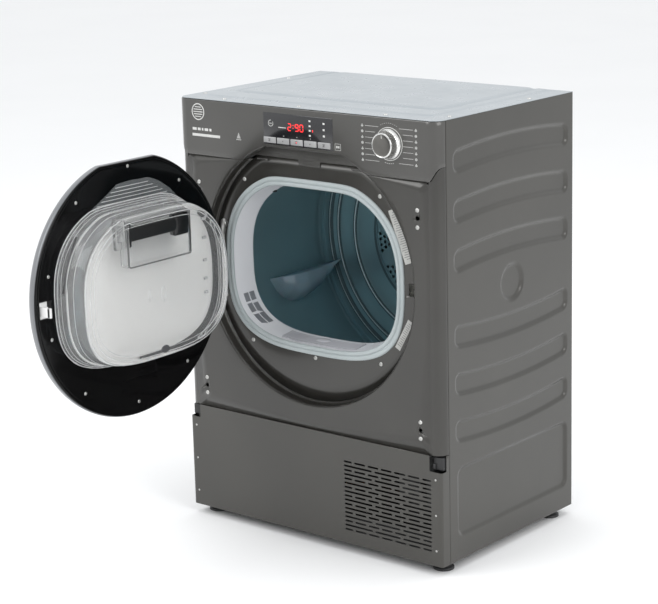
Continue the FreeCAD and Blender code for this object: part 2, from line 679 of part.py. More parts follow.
def make_lifters():
    """Three hollow-looking paddles on the drum wall, each rounded in front and tapered behind."""
    inside = rod("lifter_limit", "y", ("0", "drum_front", "drum_z"), "drum_inner-0.05", "400")
    paddles = []
    for k in range(3):
        turn = math.radians(200 + 120 * k)
        nose = Part.makeSphere(1.0)
        stretch = FreeCAD.Matrix()
        stretch.scale(66, 88, 40)
        nose = nose.transformGeometry(stretch)
        nose.rotate(Vector(), Vector(0, 1, 0), -math.degrees(turn))
        wall = size("drum_inner")
        nose.translate(Vector(wall * math.cos(turn), 86, size("drum_z") + wall * math.sin(turn)))
        paddles.append(common(f"lifter_{k}", moulded(f"lifter_form_{k}", nose), inside))
    keep(group("drum_lifters", *paddles))


def make_drum_support():
    """Felt ring, rear bearing and the two front rollers with their brackets."""
    felt = rod("felt_out", "y", ("0", "collar_rear", "drum_z"), "drum_inner+1", "5.6")
    felt_in = rod("felt_in", "y", ("0", "collar_rear-1", "drum_z"), "drum_inner-12", "8")
    keep(cut("drum_felt_seal", felt, felt_in))
    housing = rod("bearing_out", "y", ("0", "drum_rear+4", "drum_z"), "30", "18")
    feet = block("bearing_foot", ("-60", "60"), ("rear_face-4.2", "rear_face-steel"),
                 ("drum_z-18", "drum_z+18"))
    bore = rod("bearing_bore", "y", ("0", "drum_rear", "drum_z"), "drum_axle+running", "40")
    keep(cut("rear_bearing", fuse("bearing_whole", housing, feet), bore))
    reach = "(drum_inner+1.2+roller_radius+0.3)"
    brackets = []
    for name, hand in (("drum_roller_left", -1), ("drum_roller_right", 1)):
        x = f"{hand}*{reach}*sin(roller_angle*1deg)"
        z = f"drum_z-{reach}*cos(roller_angle*1deg)"
        y = "roller_y-roller_width/2"
        tyre = rod(name + "_tyre", "y", (x, y, z), "roller_radius", "roller_width")
        groove = rod(name + "_bore", "y", (x, "roller_y-20", z), "4+running", "40")
        keep(cut(name, tyre, groove))
        axle = rod(name + "_axle", "y", (x, "collar_rear-1", z), "4", "28")
        washer = rod(name + "_washer", "y", (x, "collar_rear", z), "9", "10.4")
        cap = rod(name + "_cap", "y", (x, "roller_y+roller_width/2+0.4", z), "7", "2")
        brackets.append(fuse(name + "_bracket", axle, washer, cap))
    keep(group("roller_axles", *brackets))


def belt_loop():
    """Flat belt: two arcs and the two straight runs that touch the drum and the motor pulley."""
    drum = Vector(0, 0, size("drum_z"))
    pulley = Vector(size("motor_x"), 0, size("motor_z"))
    apart = pulley.sub(drum)
    base = math.atan2(apart.z, apart.x)

    def outline(drum_radius, pulley_radius):
        spread = math.acos((drum_radius - pulley_radius) / apart.Length)

        def point(centre, radius, turn):
            return Vector(centre.x + radius * math.cos(turn), size("belt_y") - size("belt_wide") / 2,
                          centre.z + radius * math.sin(turn))
        a = point(drum, drum_radius, base + spread)
        b = point(drum, drum_radius, base - spread)
        c = point(pulley, pulley_radius, base - spread)
        d = point(pulley, pulley_radius, base + spread)
        edges = [Part.Arc(a, point(drum, drum_radius, base + math.pi), b).toShape(),
                 Part.LineSegment(b, c).toShape(),
                 Part.Arc(c, point(pulley, pulley_radius, base), d).toShape(),
                 Part.LineSegment(d, a).toShape()]
        return Part.Face(Part.Wire(edges))
    inner_drum = size("drum_inner") + 1.2 + 0.4
    inner_pulley = size("pulley_radius") + 0.4
    thick = size("belt_thick")
    loop = outline(inner_drum + thick, inner_pulley + thick).cut(outline(inner_drum, inner_pulley))
    return loop.extrude(Vector(0, size("belt_wide"), 0))


def make_drive():
    """Motor with its cradle, rotor with pulley, fan wheel, fan housing and belt."""
    x, z = "motor_x", "motor_z"
    keep(moulded("drive_belt", belt_loop()))
    can = rod("motor_can", "y", (x, "44", z), "motor_radius", "86")
    cradle = block("motor_cradle", ("motor_x-40", "motor_x+40"), ("52", "122"), ("body_low+2.5", "motor_z"))
    bore = rod("motor_bore", "y", (x, "30", z), "6+running", "140")
    keep(cut("drive_motor", fuse("motor_whole", can, cradle), bore))
    shaft = rod("rotor_shaft", "y", (x, "18", z), "6", "170")
    pulley = rod("rotor_pulley", "y", (x, "22", z), "pulley_radius", "12")
    lip_1 = rod("pulley_lip_1", "y", (x, "20", z), "pulley_radius+3.5", "2")
    lip_2 = rod("pulley_lip_2", "y", (x, "34", z), "pulley_radius+3.5", "2")
    keep(fuse("motor_rotor", shaft, pulley, lip_1, lip_2))
    hub = rod("fan_hub", "y", (x, "154", z), "16", "34")
    hub_bore = rod("fan_hub_bore", "y", (x, "150", z), "6", "50")
    disc = rod("fan_disc", "y", (x, "184", z), "fan_radius", "2")
    disc_hole = rod("fan_disc_hole", "y", (x, "180", z), "6", "10")
    rim_out = rod("fan_rim_out", "y", (x, "156", z), "fan_radius", "2")
    rim_in = rod("fan_rim_in", "y", (x, "150", z), "fan_radius-14", "10")
    blades = []
    for k in range(18):
        blade = Part.makeBox(13, 29, 1.6, Vector(size("fan_radius") - 13.4, 156.5, -0.8))
        blade.rotate(Vector(size("fan_radius") - 7, 0, 0), Vector(0, 1, 0), 30)
        blade.rotate(Vector(), Vector(0, 1, 0), 20 * k)
        blade.translate(Vector(size("motor_x"), 0, size("motor_z")))
        blades.append(moulded(f"fan_blade_{k}", blade))
    keep(fuse("fan_impeller", cut("fan_hub_cut", hub, hub_bore), cut("fan_disc_cut", disc, disc_hole),
              cut("fan_rim", rim_out, rim_in), *blades))
    scroll = rod("scroll_out", "y", (x, "148", z), "fan_radius+8", "53.5")
    chimney = block("chimney", ("motor_x-66", "motor_x+66"), ("148", "201.5"), ("motor_z", "218"))
    scroll_room = rod("scroll_room", "y", (x, "150.5", z), "fan_radius+5.5", "60")
    chimney_room = block("chimney_room", ("motor_x-63.5", "motor_x+63.5"), ("150.5", "210"),
                         ("motor_z", "215.5"))
    eye = rod("scroll_eye", "y", (x, "140", z), "fan_radius-20", "20")
    keep(cut("fan_housing", fuse("scroll_whole", scroll, chimney), scroll_room, chimney_room, eye))


# ---------------------------------------------------------------- heat pump
def tube(points, radius, bend):
    """Pipe of straight runs joined by tangent arcs."""
    spots = [Vector(*point) for point in points]
    edges = []
    start = spots[0]
    for k in range(1, len(spots) - 1):
        back = spots[k - 1].sub(spots[k]).normalize()
        ahead = spots[k + 1].sub(spots[k]).normalize()
        turn = math.pi - back.getAngle(ahead)
        trim = bend * math.tan(turn / 2)
        enter = spots[k].add(back * trim)
        leave = spots[k].add(ahead * trim)
        middle = back.add(ahead).normalize()
        centre = spots[k].add(middle * (bend / math.cos(turn / 2)))
        crown = centre.sub(middle * bend)
        edges.append(Part.LineSegment(start, enter).toShape())
        edges.append(Part.Arc(enter, crown, leave).toShape())
        start = leave
    edges.append(Part.LineSegment(start, spots[-1]).toShape())
    spine = Part.Wire(edges)
    way = spots[1].sub(spots[0])
    ring = Part.Wire([Part.Circle(spots[0], way, radius).toShape()])
    return spine.makePipeShell([ring], True, False)


def finned_coil(name, y_low, y_high):
    """Heat exchanger: a stack of thin fins between end plates, with tube bends along one side."""
    low, high, left, right = 32, 168, -246, -72
    body = Part.makeBox(right - left, 2, high - low, Vector(left, y_low, low))
    pitch = 5.0
    for k in range(1, int((y_high - y_low) / pitch)):
        body = body.fuse(Part.makeBox(right - left, 1.2, high - low, Vector(left, y_low + pitch * k, low)))
    for k in range(5):
        z = low + 18 + 25 * k
        body = body.fuse(Part.makeCylinder(4.5, y_high - y_low + 12, Vector(left + 60, y_low - 6, z),
                                           Vector(0, 1, 0)))
        body = body.fuse(Part.makeCylinder(4.5, y_high - y_low + 12, Vector(right - 60, y_low - 6, z),
                                           Vector(0, 1, 0)))
    keep(moulded(name, body))


def make_heat_pump():
    can = rod("compressor_can", "z", ("175", "-64", "45"), "62", "160")
    dome = cone("compressor_dome", "z", ("175", "-64", "205"), "62", "30", "24")
    base = block("compressor_base", ("115", "235"), ("-124", "-4"), ("38", "46"))
    terminal = block("compressor_terminal", ("150", "200"), ("-136", "-120"), ("110", "160"))
    works = rod("compressor_room", "z", ("175", "-64", "60"), "46", "130")
    keep(cut("compressor", fuse("compressor_whole", can, dome, base, terminal), works))
    mounts = [rod(f"mount_{k}", "z", (x, y, "body_low+2.5"), "11", "17.5")
              for k, (x, y) in enumerate((("128", "-110"), ("222", "-110"), ("175", "-16")))]
    keep(group("compressor_mounts", *mounts))
    finned_coil("evaporator", -140, -60)
    finned_coil("condenser", -40, 60)
    out = block("duct_out", ("-258", "-56"), ("-168", "110"), ("body_low+2.5", "178"))
    room = block("duct_room", ("-255.5", "-58.5"), ("-165.5", "107.5"), ("23", "175.5"))
    intake = block("duct_intake", ("-200", "-70"), ("-170", "-160"), ("60", "165"))
    exhaust = block("duct_exhaust", ("-245", "-70"), ("100", "115"), ("40", "165"))
    keep(cut("exchanger_duct", out, room, intake, exhaust))
    pipes = [tube(((112, -50, 120), (60, -50, 120), (20, -20, 120), (-52, -20, 120)), 5, 14),
             tube(((118, -90, 90), (40, -90, 90), (0, -110, 90), (-52, -110, 90)), 4, 14),
             tube(((175, -4, 170), (175, 14, 170), (100, 16, 190), (20, 0, 190), (-52, 0, 150)), 3, 10)]
    keep(group("refrigerant_pipes", *[moulded(f"pipe_{k}", pipe) for k, pipe in enumerate(pipes)]))
    sump = block("pump_body", ("180", "250"), ("110", "170"), ("body_low+2.5", "70"))
    motor = rod("pump_motor", "z", ("215", "140", "70"), "20", "26")
    spout = rod("pump_spout", "x", ("250", "140", "52"), "7", "12")
    keep(fuse("condensate_pump", sump, motor, spout))
    keep(moulded("condensate_hose", tube(((262, 140, 52), (284, 140, 60), (284, 60, 80), (284, -120, 115),
                                         (284, -154, 160), (272, -158, 250), (236, -158, 330)), 6, 12)))


# ---------------------------------------------------------------- latch, hinge and door
def make_latch():
    shell = block("latch_out", ("208", "242"), ("seam", "seam+30"), ("486", "530"))
    room = block("latch_room", ("215.5", "231.5"), ("seam-1", "seam+27"), ("495", "521"))
    keep(cut("door_latch", shell, room))


def make_hinge():
    """Cabinet hinge plate with two eyes, and the leaf and pin that belong to the door."""
    front = "front_face+recess_depth"
    strip = block("hinge_strip", ("-224", "-211"), (f"{front}-1.5", front), ("447", "580"))
    lobe_1 = rod("hinge_lobe_1", "y", ("-212.5", f"{front}-1.5", "580"), "9.5", "1.5")
    lobe_2 = rod("hinge_lobe_2", "y", ("-214", f"{front}-1.5", "447"), "9", "1.5")
    eyes = []
    holes = []
    for k, z in enumerate((470, 549)):
        eyes.append(block(f"hinge_arm_{k}", ("hinge_x-0.5", "hinge_x+11"), ("hinge_y", front),
                          (f"{z}", f"{z + 8}")))
        eyes.append(rod(f"hinge_eye_{k}", "z", ("hinge_x", "hinge_y", f"{z}"), "6.5", "8"))
        holes.append(rod(f"hinge_hole_{k}", "z", ("hinge_x", "hinge_y", f"{z - 2}"), "pin_radius+running",
                         "12"))
    clear = moulded("hinge_clear", mouth_prism(-0.3, RECESS_FLOOR - 3, RECESS_FLOOR + 3))
    plate = cut("hinge_plate", fuse("hinge_plate_whole", strip, lobe_1, lobe_2), clear)
    keep(cut("hinge_bracket", fuse("hinge_bracket_whole", plate, *eyes), *holes))
    knuckle = rod("leaf_knuckle", "z", ("hinge_x", "hinge_y", "480"), "6", "67")
    leaf = block("leaf", ("hinge_x-6", "hinge_x+3"), ("hinge_y-34", "hinge_y"), ("480", "547"))
    pin = rod("hinge_pin", "z", ("hinge_x", "hinge_y", "464"), "pin_radius", "99")
    keep(fuse("door_hinge", knuckle, leaf, pin))


DOOR_OUTLINE = (("door_y", size("door_y")), ("door_z", size("door_z")))


def door_disc(body, name, offset, shrink):
    drawing = sketch_on(body, name, "YZ_Plane", offset)
    flat_topped_disc(drawing, *DOOR_OUTLINE, (f"door_radius-{shrink}", size("door_radius") - shrink),
                     (f"door_flat-{shrink}", size("door_flat") - shrink))
    return drawing


def hinge_notches(prefix):
    """Room in the door's edge for the cabinet's two hinge eyes, and for the knuckle between them."""
    notches = []
    for k, z in enumerate((470, 549)):
        notches.append(block(f"{prefix}_notch_{k}", ("hinge_x-7.5", "ring_face+1"),
                             ("hinge_y-12.5", "hinge_y+20"),
                             (f"{z - 1.5}", f"{z + 9.5}")))
    notches.append(block(f"{prefix}_notch_leaf", ("hinge_x-6.4", "hinge_x+6.4"),
                         ("hinge_y-36", "hinge_y+20"),
                         ("462", "565")))
    return notches


def make_door():
    """Door, swung open: painted outer shell, black inner ring, white liner, hook, screws and tank."""
    body = new_body("shell_form")
    outer = door_disc(body, "shell_outline", "shell_face", 0)
    slab = pad(body, outer, "ring_face - ring_thick - shell_face")
    doc.recompute()
    face = slab.Shape.BoundBox.XMin
    edge_round = body.newObject("PartDesign::Fillet", "shell_round")
    edge_round.Base = (slab, edges_where(
        slab.Shape, lambda edge: all(abs(vertex.X - face) < 0.01 for vertex in edge.Vertexes)))
    edge_round.Radius = 12
    body.Tip = edge_round
    doc.recompute()
    inner = door_disc(body, "shell_room", "ring_face - ring_thick", 8)
    pocket(body, inner, "ring_face - ring_thick - shell_face - plastic")
    keep(cut("door_shell", body, *hinge_notches("shell")))

    ring = new_body("ring_form")
    pad(ring, door_disc(ring, "ring_outline", "ring_face - ring_thick", 1.5), "ring_thick")
    liner_inset = size("liner_inset")
    opening = moulded("ring_opening", mouth_prism(liner_inset - 0.4, -230, -200, on_open_door))
    holes = []
    for k, (across, up) in enumerate(RING_SCREWS):
        holes.append(rod(f"ring_hole_{k}", "x", ("ring_face-10", f"door_y+{across}", f"door_z+{up}"), "3.8",
                         "20"))
    slot = block("hook_slot", ("ring_face-10", "ring_face+10"), ("door_y-226", "door_y-219.6"),
                 ("498.6", "517.4"))
    keep(cut("door_ring", ring, opening, slot, *holes, *hinge_notches("ring")))

    liner_face = size("ring_face") - 0.2
    pan_out = mouth_prism(liner_inset, liner_face - 20, liner_face, on_open_door)
    pan_room = mouth_prism(liner_inset + 2.6, liner_face - 21, liner_face - 2.5, on_open_door)
    keep(moulded("door_liner", pan_out.cut(pan_room)))

    plate = block("hook_plate", ("ring_face-ring_thick-4", "ring_face-ring_thick"),
                  ("door_y-228.3", "door_y-206"), ("494", "522"))
    arm = block("hook_arm", ("ring_face-ring_thick", "ring_face+25"), ("door_y-225.6", "door_y-221.6"),
                ("499", "517"))
    tooth = block("hook_tooth", ("ring_face+18", "ring_face+25"), ("door_y-225.6", "door_y-220"),
                  ("499", "517"))
    keep(fuse("door_hook", plate, arm, tooth))
    screws = [ring_screw(k, across, up) for k, (across, up) in enumerate(RING_SCREWS)]
    keep(group("door_screws", *screws))


RING_SCREWS = ((0, 217), (128, 172), (-128, 172), (201, 52), (-201, 56), (201, -58), (-201, -55),
               (130, -168), (-130, -168), (0, -214))


def ring_screw(k, across, up):
    y, z = f"door_y+{across}", f"door_z+{up}"
    head = rod(f"ring_screw_head_{k}", "x", ("ring_face-1.6", y, z), "3.6", "1.5")
    shank = rod(f"ring_screw_shank_{k}", "x", ("ring_face-8", y, z), "1.7", "8")
    return fuse(f"ring_screw_{k}", head, shank)


def make_tank():
    """Clear water tank that lies in the door, with a pocket for the fingers behind its black handle."""
    inset = size("tank_inset")
    draft = size("tank_draft")
    wall = size("tank_wall")
    back = size("tank_back")
    front = size("ring_face") + size("tank_proud")
    profile = ((0, back), (draft, front - 12), (draft + 3, front - 4), (draft + 8, front))
    inner = ((0, back + wall), (draft, front - 12), (draft + 3, front - 4 - wall), (draft + 7, front - wall))
    out = mouth_stack([(inset + step, plane) for step, plane in profile], on_open_door)
    room = mouth_stack([(inset + wall + step, plane) for step, plane in inner], on_open_door)
    low = Vector(front - size("grip_depth"), size("grip_front"), size("grip_low"))
    span = Vector(60, size("grip_rear") - low.y, size("grip_high") - low.z)
    pocket_room = Part.makeBox(span.x, span.y, span.z, low)
    skin = Vector(wall, wall, wall)
    outer = low.sub(skin)
    pocket_wall = Part.makeBox(front - outer.x, span.y + 2 * wall, span.z + 2 * wall, outer)
    shell = out.cut(room).fuse(pocket_wall.common(out)).cut(pocket_room)
    keep(moulded("water_tank", shell))
    bar = block("grip_bar", (f"{front - 14}", f"{front - 1}"), ("grip_front", "grip_rear"),
                ("bar_low", "bar_high"))
    sides = (("grip_front", "grip_front+9"), ("grip_rear-36", "grip_rear"))
    ends = [block(f"grip_end_{k}", (f"{front - 22}", f"{front - 1}"), side, ("bar_low-9", "grip_high-1"))
            for k, side in enumerate(sides)]
    keep(fuse("tank_handle", bar, *ends))


# ---------------------------------------------------------------- screws of the cabinet
def make_screws():
    """Screws in the recess floor and at the cupboard-door fixing points and plinth."""
    floor = "front_face+recess_depth"
    places = [(158, floor, 668), (-158, floor, 668), (153, floor, 364), (1, floor, 351), (-150, floor, 364)]
    for side in (-1, 1):
        places += [(254 * side, "front_face", z) for z in (249, 279, 627, 657)]
        places += [(286 * side, "front_face-1", z) for z in (47, 113, 179)]
    screws = []
    for k, (x, face, z) in enumerate(places):
        radius = "1.9" if abs(x) == 286 else "4"
        head = rod(f"screw_head_{k}", "y", (str(x), f"{face}-1.3" if abs(x) < 286 else face, str(z)),
                   radius, "1.3")
        screws.append(head)
    for k, (x, z) in enumerate(((-213, 580), (-214, 447))):
        screws.append(rod(f"hinge_screw_{k}", "y", (str(x), f"{floor}-3", str(z)), "4.6", "1.5"))
    keep(group("cabinet_screws", *screws))


# ---------------------------------------------------------------- build and write
def build_all():
    make_side_panel("side_panel_left", -1)
    make_side_panel("side_panel_right", 1)
    make_top_panel()
    make_front_panel()
    make_fascia()
    make_display()
    make_buttons()
    make_knob()
    make_plinth()
    make_rear()
    make_base()
    make_feet()
    make_bulkhead()
    make_gasket()
    make_filter()
    make_collar_fittings()
    make_drum()
    make_drum_support()
    make_drive()
    make_heat_pump()
    make_latch()
    make_hinge()
    make_door()
    make_tank()
    make_screws()


build_all()
doc.recompute()
for item in doc.Objects:
    if "Invalid" in item.State or "Error" in item.State:
        raise SystemExit(f"{item.Label} is {item.State}")
for piece in SUBPARTS:
    if piece.Shape.isNull() or not piece.Shape.isValid() or piece.Shape.Volume < 1:
        raise SystemExit(f"{piece.Label} has no valid shape")

os.makedirs("parts", exist_ok=True)
for piece in SUBPARTS:
    piece.Shape.exportStep(f"parts/{piece.Label}.step")
print(len(SUBPARTS), "sub-parts written")
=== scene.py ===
# Clothes dryer with its door open and its water tank in the door. Lengths are millimetres unless said.
import bpy
import bmesh
import math
from mathutils import Matrix, Vector


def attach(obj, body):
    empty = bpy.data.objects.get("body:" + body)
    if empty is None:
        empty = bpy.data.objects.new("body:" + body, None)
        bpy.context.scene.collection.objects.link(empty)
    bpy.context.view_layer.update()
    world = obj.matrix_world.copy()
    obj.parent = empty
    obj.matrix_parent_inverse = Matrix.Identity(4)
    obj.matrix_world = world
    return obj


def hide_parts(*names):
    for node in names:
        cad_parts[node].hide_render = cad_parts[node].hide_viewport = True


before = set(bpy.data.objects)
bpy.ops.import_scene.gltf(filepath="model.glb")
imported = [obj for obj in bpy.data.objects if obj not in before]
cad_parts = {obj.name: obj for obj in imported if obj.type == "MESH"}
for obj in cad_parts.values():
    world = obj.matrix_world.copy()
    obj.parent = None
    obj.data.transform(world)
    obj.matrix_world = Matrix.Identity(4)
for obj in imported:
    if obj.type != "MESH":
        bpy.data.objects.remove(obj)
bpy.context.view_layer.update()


# ---- Screw feet: black nylon pads, flared to the floor, each moulded onto a threaded steel stud
# that screws into a boss of the base tray. Four alike.
def node(tree, kind, inputs=None, **settings):
    """Adds a node, sets its options, and links or sets its inputs."""
    made = tree.nodes.new(kind)
    for key, value in settings.items():
        setattr(made, key, value)
    for key, value in (inputs or {}).items():
        if isinstance(value, bpy.types.NodeSocket):
            tree.links.new(value, made.inputs[key])
        else:
            made.inputs[key].default_value = value
    return made


def socket_list(tree, side, sockets):
    """Declares a node group's sockets from (name, kind, default) rows."""
    for name, kind, default in sockets:
        made = tree.interface.new_socket(name=name, in_out=side, socket_type="NodeSocket" + kind)
        if default is not None:
            made.default_value = default


def make_moulded_surface_group():
    """Cloudy tone, uneven gloss and fine grain that every moulded or painted surface shares."""
    tree = bpy.data.node_groups.new("moulded_surface", "ShaderNodeTree")
    socket_list(tree, "INPUT", (("Colour", "Color", (0.5, 0.5, 0.5, 1)),
                                ("Shade", "Color", (0.4, 0.4, 0.4, 1)), ("Cloud Size", "Float", 8.0),
                                ("Grain Size", "Float", 1500.0), ("Gloss", "Float", 0.4),
                                ("Gloss Spread", "Float", 0.08)))
    socket_list(tree, "OUTPUT", (("Colour", "Color", None), ("Roughness", "Float", None),
                                 ("Height", "Float", None)))
    given = node(tree, "NodeGroupInput")
    place = node(tree, "ShaderNodeTexCoord")
    cloud = node(tree, "ShaderNodeTexNoise", {"Vector": place.outputs["Object"],
                                              "Scale": given.outputs["Cloud Size"],
                                              "Detail": 3.0, "Roughness": 0.55})
    soft = node(tree, "ShaderNodeMapRange", {"Value": cloud.outputs["Fac"], "From Min": 0.35,
                                             "From Max": 0.65})
    tone = node(tree, "ShaderNodeMix", {0: soft.outputs["Result"], 6: given.outputs["Shade"],
                                        7: given.outputs["Colour"]}, data_type="RGBA")
    grain = node(tree, "ShaderNodeTexNoise", {"Vector": place.outputs["Object"],
                                              "Scale": given.outputs["Grain Size"],
                                              "Detail": 2.0, "Roughness": 0.6})
    smear = node(tree, "ShaderNodeTexNoise", {"Vector": place.outputs["Object"], "Scale": 34.0,
                                              "Detail": 4.0})
    swing = node(tree, "ShaderNodeMath", {0: smear.outputs["Fac"], 1: 0.5}, operation="SUBTRACT")
    gloss = node(tree, "ShaderNodeMath", {0: swing.outputs[0], 1: given.outputs["Gloss Spread"],
                                          2: given.outputs["Gloss"]}, operation="MULTIPLY_ADD",
                 use_clamp=True)
    node(tree, "NodeGroupOutput", {"Colour": tone.outputs[2], "Roughness": gloss.outputs[0],
                                   "Height": grain.outputs["Fac"]})
    return tree


MOULDED = make_moulded_surface_group()


def finish(name, colour, shade=None, gloss=0.4, spread=0.1, cloud=8.0, grain=1500.0, relief=0.00004,
           **shader):
    """Material for one finish; colours are linear, relief is the grain's height in metres."""
    made = bpy.data.materials.new(name)
    made.use_nodes = True
    tree = made.node_tree
    tree.nodes.clear()
    shade = shade or tuple(part * 0.86 for part in colour)
    skin = node(tree, "ShaderNodeGroup", node_tree=MOULDED)
    for key, value in (("Colour", (*colour, 1)), ("Shade", (*shade, 1)), ("Cloud Size", cloud),
                       ("Grain Size", grain), ("Gloss", gloss), ("Gloss Spread", spread)):
        skin.inputs[key].default_value = value
    bump = node(tree, "ShaderNodeBump", {"Height": skin.outputs["Height"], "Distance": relief,
                                         "Strength": 1.0})
    look = node(tree, "ShaderNodeBsdfPrincipled", {"Base Color": skin.outputs["Colour"],
                                                   "Roughness": skin.outputs["Roughness"],
                                                   "Normal": bump.outputs["Normal"]})
    for key, value in shader.items():
        look.inputs[key.replace("_", " ")].default_value = value
    node(tree, "ShaderNodeOutputMaterial", {"Surface": look.outputs["BSDF"]})
    made.diffuse_color = (*colour, 1)
    return made


class Skin:
    """Corner points in millimetres and the faces between them, with a finish number for each face."""

    def __init__(self):
        self.points = []
        self.faces = []
        self.finishes = []

    def strip(self, rows, closed=False, finish_number=0):
        """Four-sided faces between neighbouring rows of points."""
        first = len(self.points)
        count = len(rows[0])
        for row in rows:
            self.points.extend(row)
        for r in range(len(rows) - 1):
            for k in range(count if closed else count - 1):
                a = first + r * count + k
                b = first + r * count + (k + 1) % count
                self.faces.append((a, b, b + count, a + count))
                self.finishes.append(finish_number)

    def lid(self, row, finish_number=0):
        """Closes a loop with a fan round its middle."""
        first = len(self.points)
        middle = [sum(point[k] for point in row) / len(row) for k in range(3)]
        self.points.extend(list(row) + [middle])
        for k in range(len(row)):
            self.faces.append((first + k, first + (k + 1) % len(row), first + len(row)))
            self.finishes.append(finish_number)

    def add(self, other, finish_number=0, move=None):
        """Takes over a bmesh, such as a rounded block."""
        first = len(self.points)
        other.verts.index_update()
        for vertex in other.verts:
            self.points.append(tuple(move @ vertex.co if move else vertex.co))
        for face in other.faces:
            self.faces.append(tuple(first + vertex.index for vertex in face.verts))
            self.finishes.append(finish_number)
        other.free()


def mesh_object(name, skin, materials, crease=38, outward=None, weld=0.002):
    """Welds a skin, points its faces outwards and makes the object, in metres."""
    mesh = bpy.data.meshes.new(name)
    mesh.from_pydata([tuple(part * 0.001 for part in point) for point in skin.points], [], skin.faces)
    for material in materials:
        mesh.materials.append(material)
    mesh.polygons.foreach_set("material_index", skin.finishes)
    work = bmesh.new()
    work.from_mesh(mesh)
    bmesh.ops.remove_doubles(work, verts=work.verts, dist=weld * 0.001)
    bmesh.ops.dissolve_degenerate(work, edges=work.edges, dist=1e-7)
    bmesh.ops.recalc_face_normals(work, faces=work.faces)
    waiting = set(work.faces) if outward is not None else set()
    while waiting:
        island, edge_of_island = set(), [waiting.pop()]
        while edge_of_island:
            face = edge_of_island.pop()
            island.add(face)
            for edge in face.edges:
                for other in edge.link_faces:
                    if other in waiting:
                        waiting.discard(other)
                        edge_of_island.append(other)
        if sum(face.normal.dot(Vector(outward)) * face.calc_area() for face in island) < 0:
            bmesh.ops.reverse_faces(work, faces=list(island))
    work.to_mesh(mesh)
    work.free()
    mesh.shade_smooth()
    mesh.set_sharp_from_angle(angle=math.radians(crease))
    made = bpy.data.objects.new(name, mesh)
    bpy.context.scene.collection.objects.link(made)
    return made


def settle(thing, body, nodes):
    """Hangs a finished piece on the body it moves with and hides the imported parts it stands for."""
    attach(thing, body)
    if nodes:
        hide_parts(*nodes)
    return thing


def bake_down(thing):
    """Turns an object with modifiers into one plain mesh."""
    graph = bpy.context.evaluated_depsgraph_get()
    plain = bpy.data.meshes.new_from_object(thing.evaluated_get(graph), depsgraph=graph)
    thing.modifiers.clear()
    thing.data = plain
    return thing


def facing_front(x, z):
    """Placing function for rows turned about an axis along Y, through x and z."""
    return lambda a, r, y: (x + r * math.cos(a), y, z + r * math.sin(a))


def turned(profile, steps, place):
    """Rows of points for a (radius, along) profile; place maps (angle, radius, along) to a point."""
    return [[place(2 * math.pi * k / steps, radius, along) for k in range(steps)]
            for radius, along in profile]


black_nylon = finish("black_nylon", (0.018, 0.018, 0.019), gloss=0.5, grain=900, relief=0.00006)
zinc_bright = finish("zinc_bright", (0.62, 0.62, 0.6), gloss=0.3, spread=0.25, cloud=60, grain=2500,
                     Metallic=1.0)

FOOT_PROFILE = [(0.01, 0), (17.5, 0), (19, 0.8), (19, 3.4), (18.2, 4.8), (15.5, 6.2), (13.4, 8.4),
                (12.6, 11.6), (11.8, 12.2), (9.4, 12.4), (9, 13), (9, 15.6), (8.4, 16)]
THREAD_PITCH = 1.5
for foot, x, y in (("front_left", -272, -168), ("front_right", 272, -168), ("rear_left", -272, 170),
                   ("rear_right", 272, 170)):
    pad = Skin()
    pad.strip(turned(FOOT_PROFILE, 48, lambda a, r, z: (x + r * math.cos(a), y + r * math.sin(a), z)),
              closed=True)
    thread = [(8.4, 16), (4, 16)]
    for turn in range(int(33 / THREAD_PITCH)):
        thread += [(4, 16.2 + turn * THREAD_PITCH), (3.4, 16.9 + turn * THREAD_PITCH)]
    thread += [(3.4, 49.4), (0.01, 49.8)]
    pad.strip(turned(thread, 24, lambda a, r, z: (x + r * math.cos(a), y + r * math.sin(a), z)), closed=True,
              finish_number=1)
    body = "foot_" + foot[0] + foot.split("_")[1][0]
    settle(mesh_object("foot_" + foot + "_pad", pad, [black_nylon, zinc_bright]), body, ["foot_" + foot])


# ---- Base tray and everything hidden inside the cabinet keep their engineered shapes:
# heat exchangers, compressor, pump, pipes, motor and fan, drum supports. Each gets its own finish.
def rolled_sheet_finish(name, colour, along, gloss=0.34):
    """Metal drawn or rolled one way: fine streaks stretched along one axis over a cloudy tone."""
    made = finish(name, colour, gloss=gloss, spread=0.2, cloud=14, grain=700, relief=0.00003, Metallic=0.9)
    tree = made.node_tree
    skin = next(part for part in tree.nodes if part.type == "GROUP")
    place = node(tree, "ShaderNodeTexCoord")
    stretch = node(tree, "ShaderNodeMapping", {"Vector": place.outputs["Object"], "Scale": along})
    streaks = node(tree, "ShaderNodeTexNoise", {"Vector": stretch.outputs["Vector"], "Scale": 420.0,
                                                "Detail": 3.0})
    blend = node(tree, "ShaderNodeMix", data_type="RGBA", blend_type="MULTIPLY")
    blend.inputs["Factor"].default_value = 0.35
    tree.links.new(skin.outputs["Colour"], blend.inputs[6])
    tree.links.new(streaks.outputs["Color"], blend.inputs[7])
    look = next(part for part in tree.nodes if part.type == "BSDF_PRINCIPLED")
    tree.links.new(blend.outputs[2], look.inputs["Base Color"])
    return made


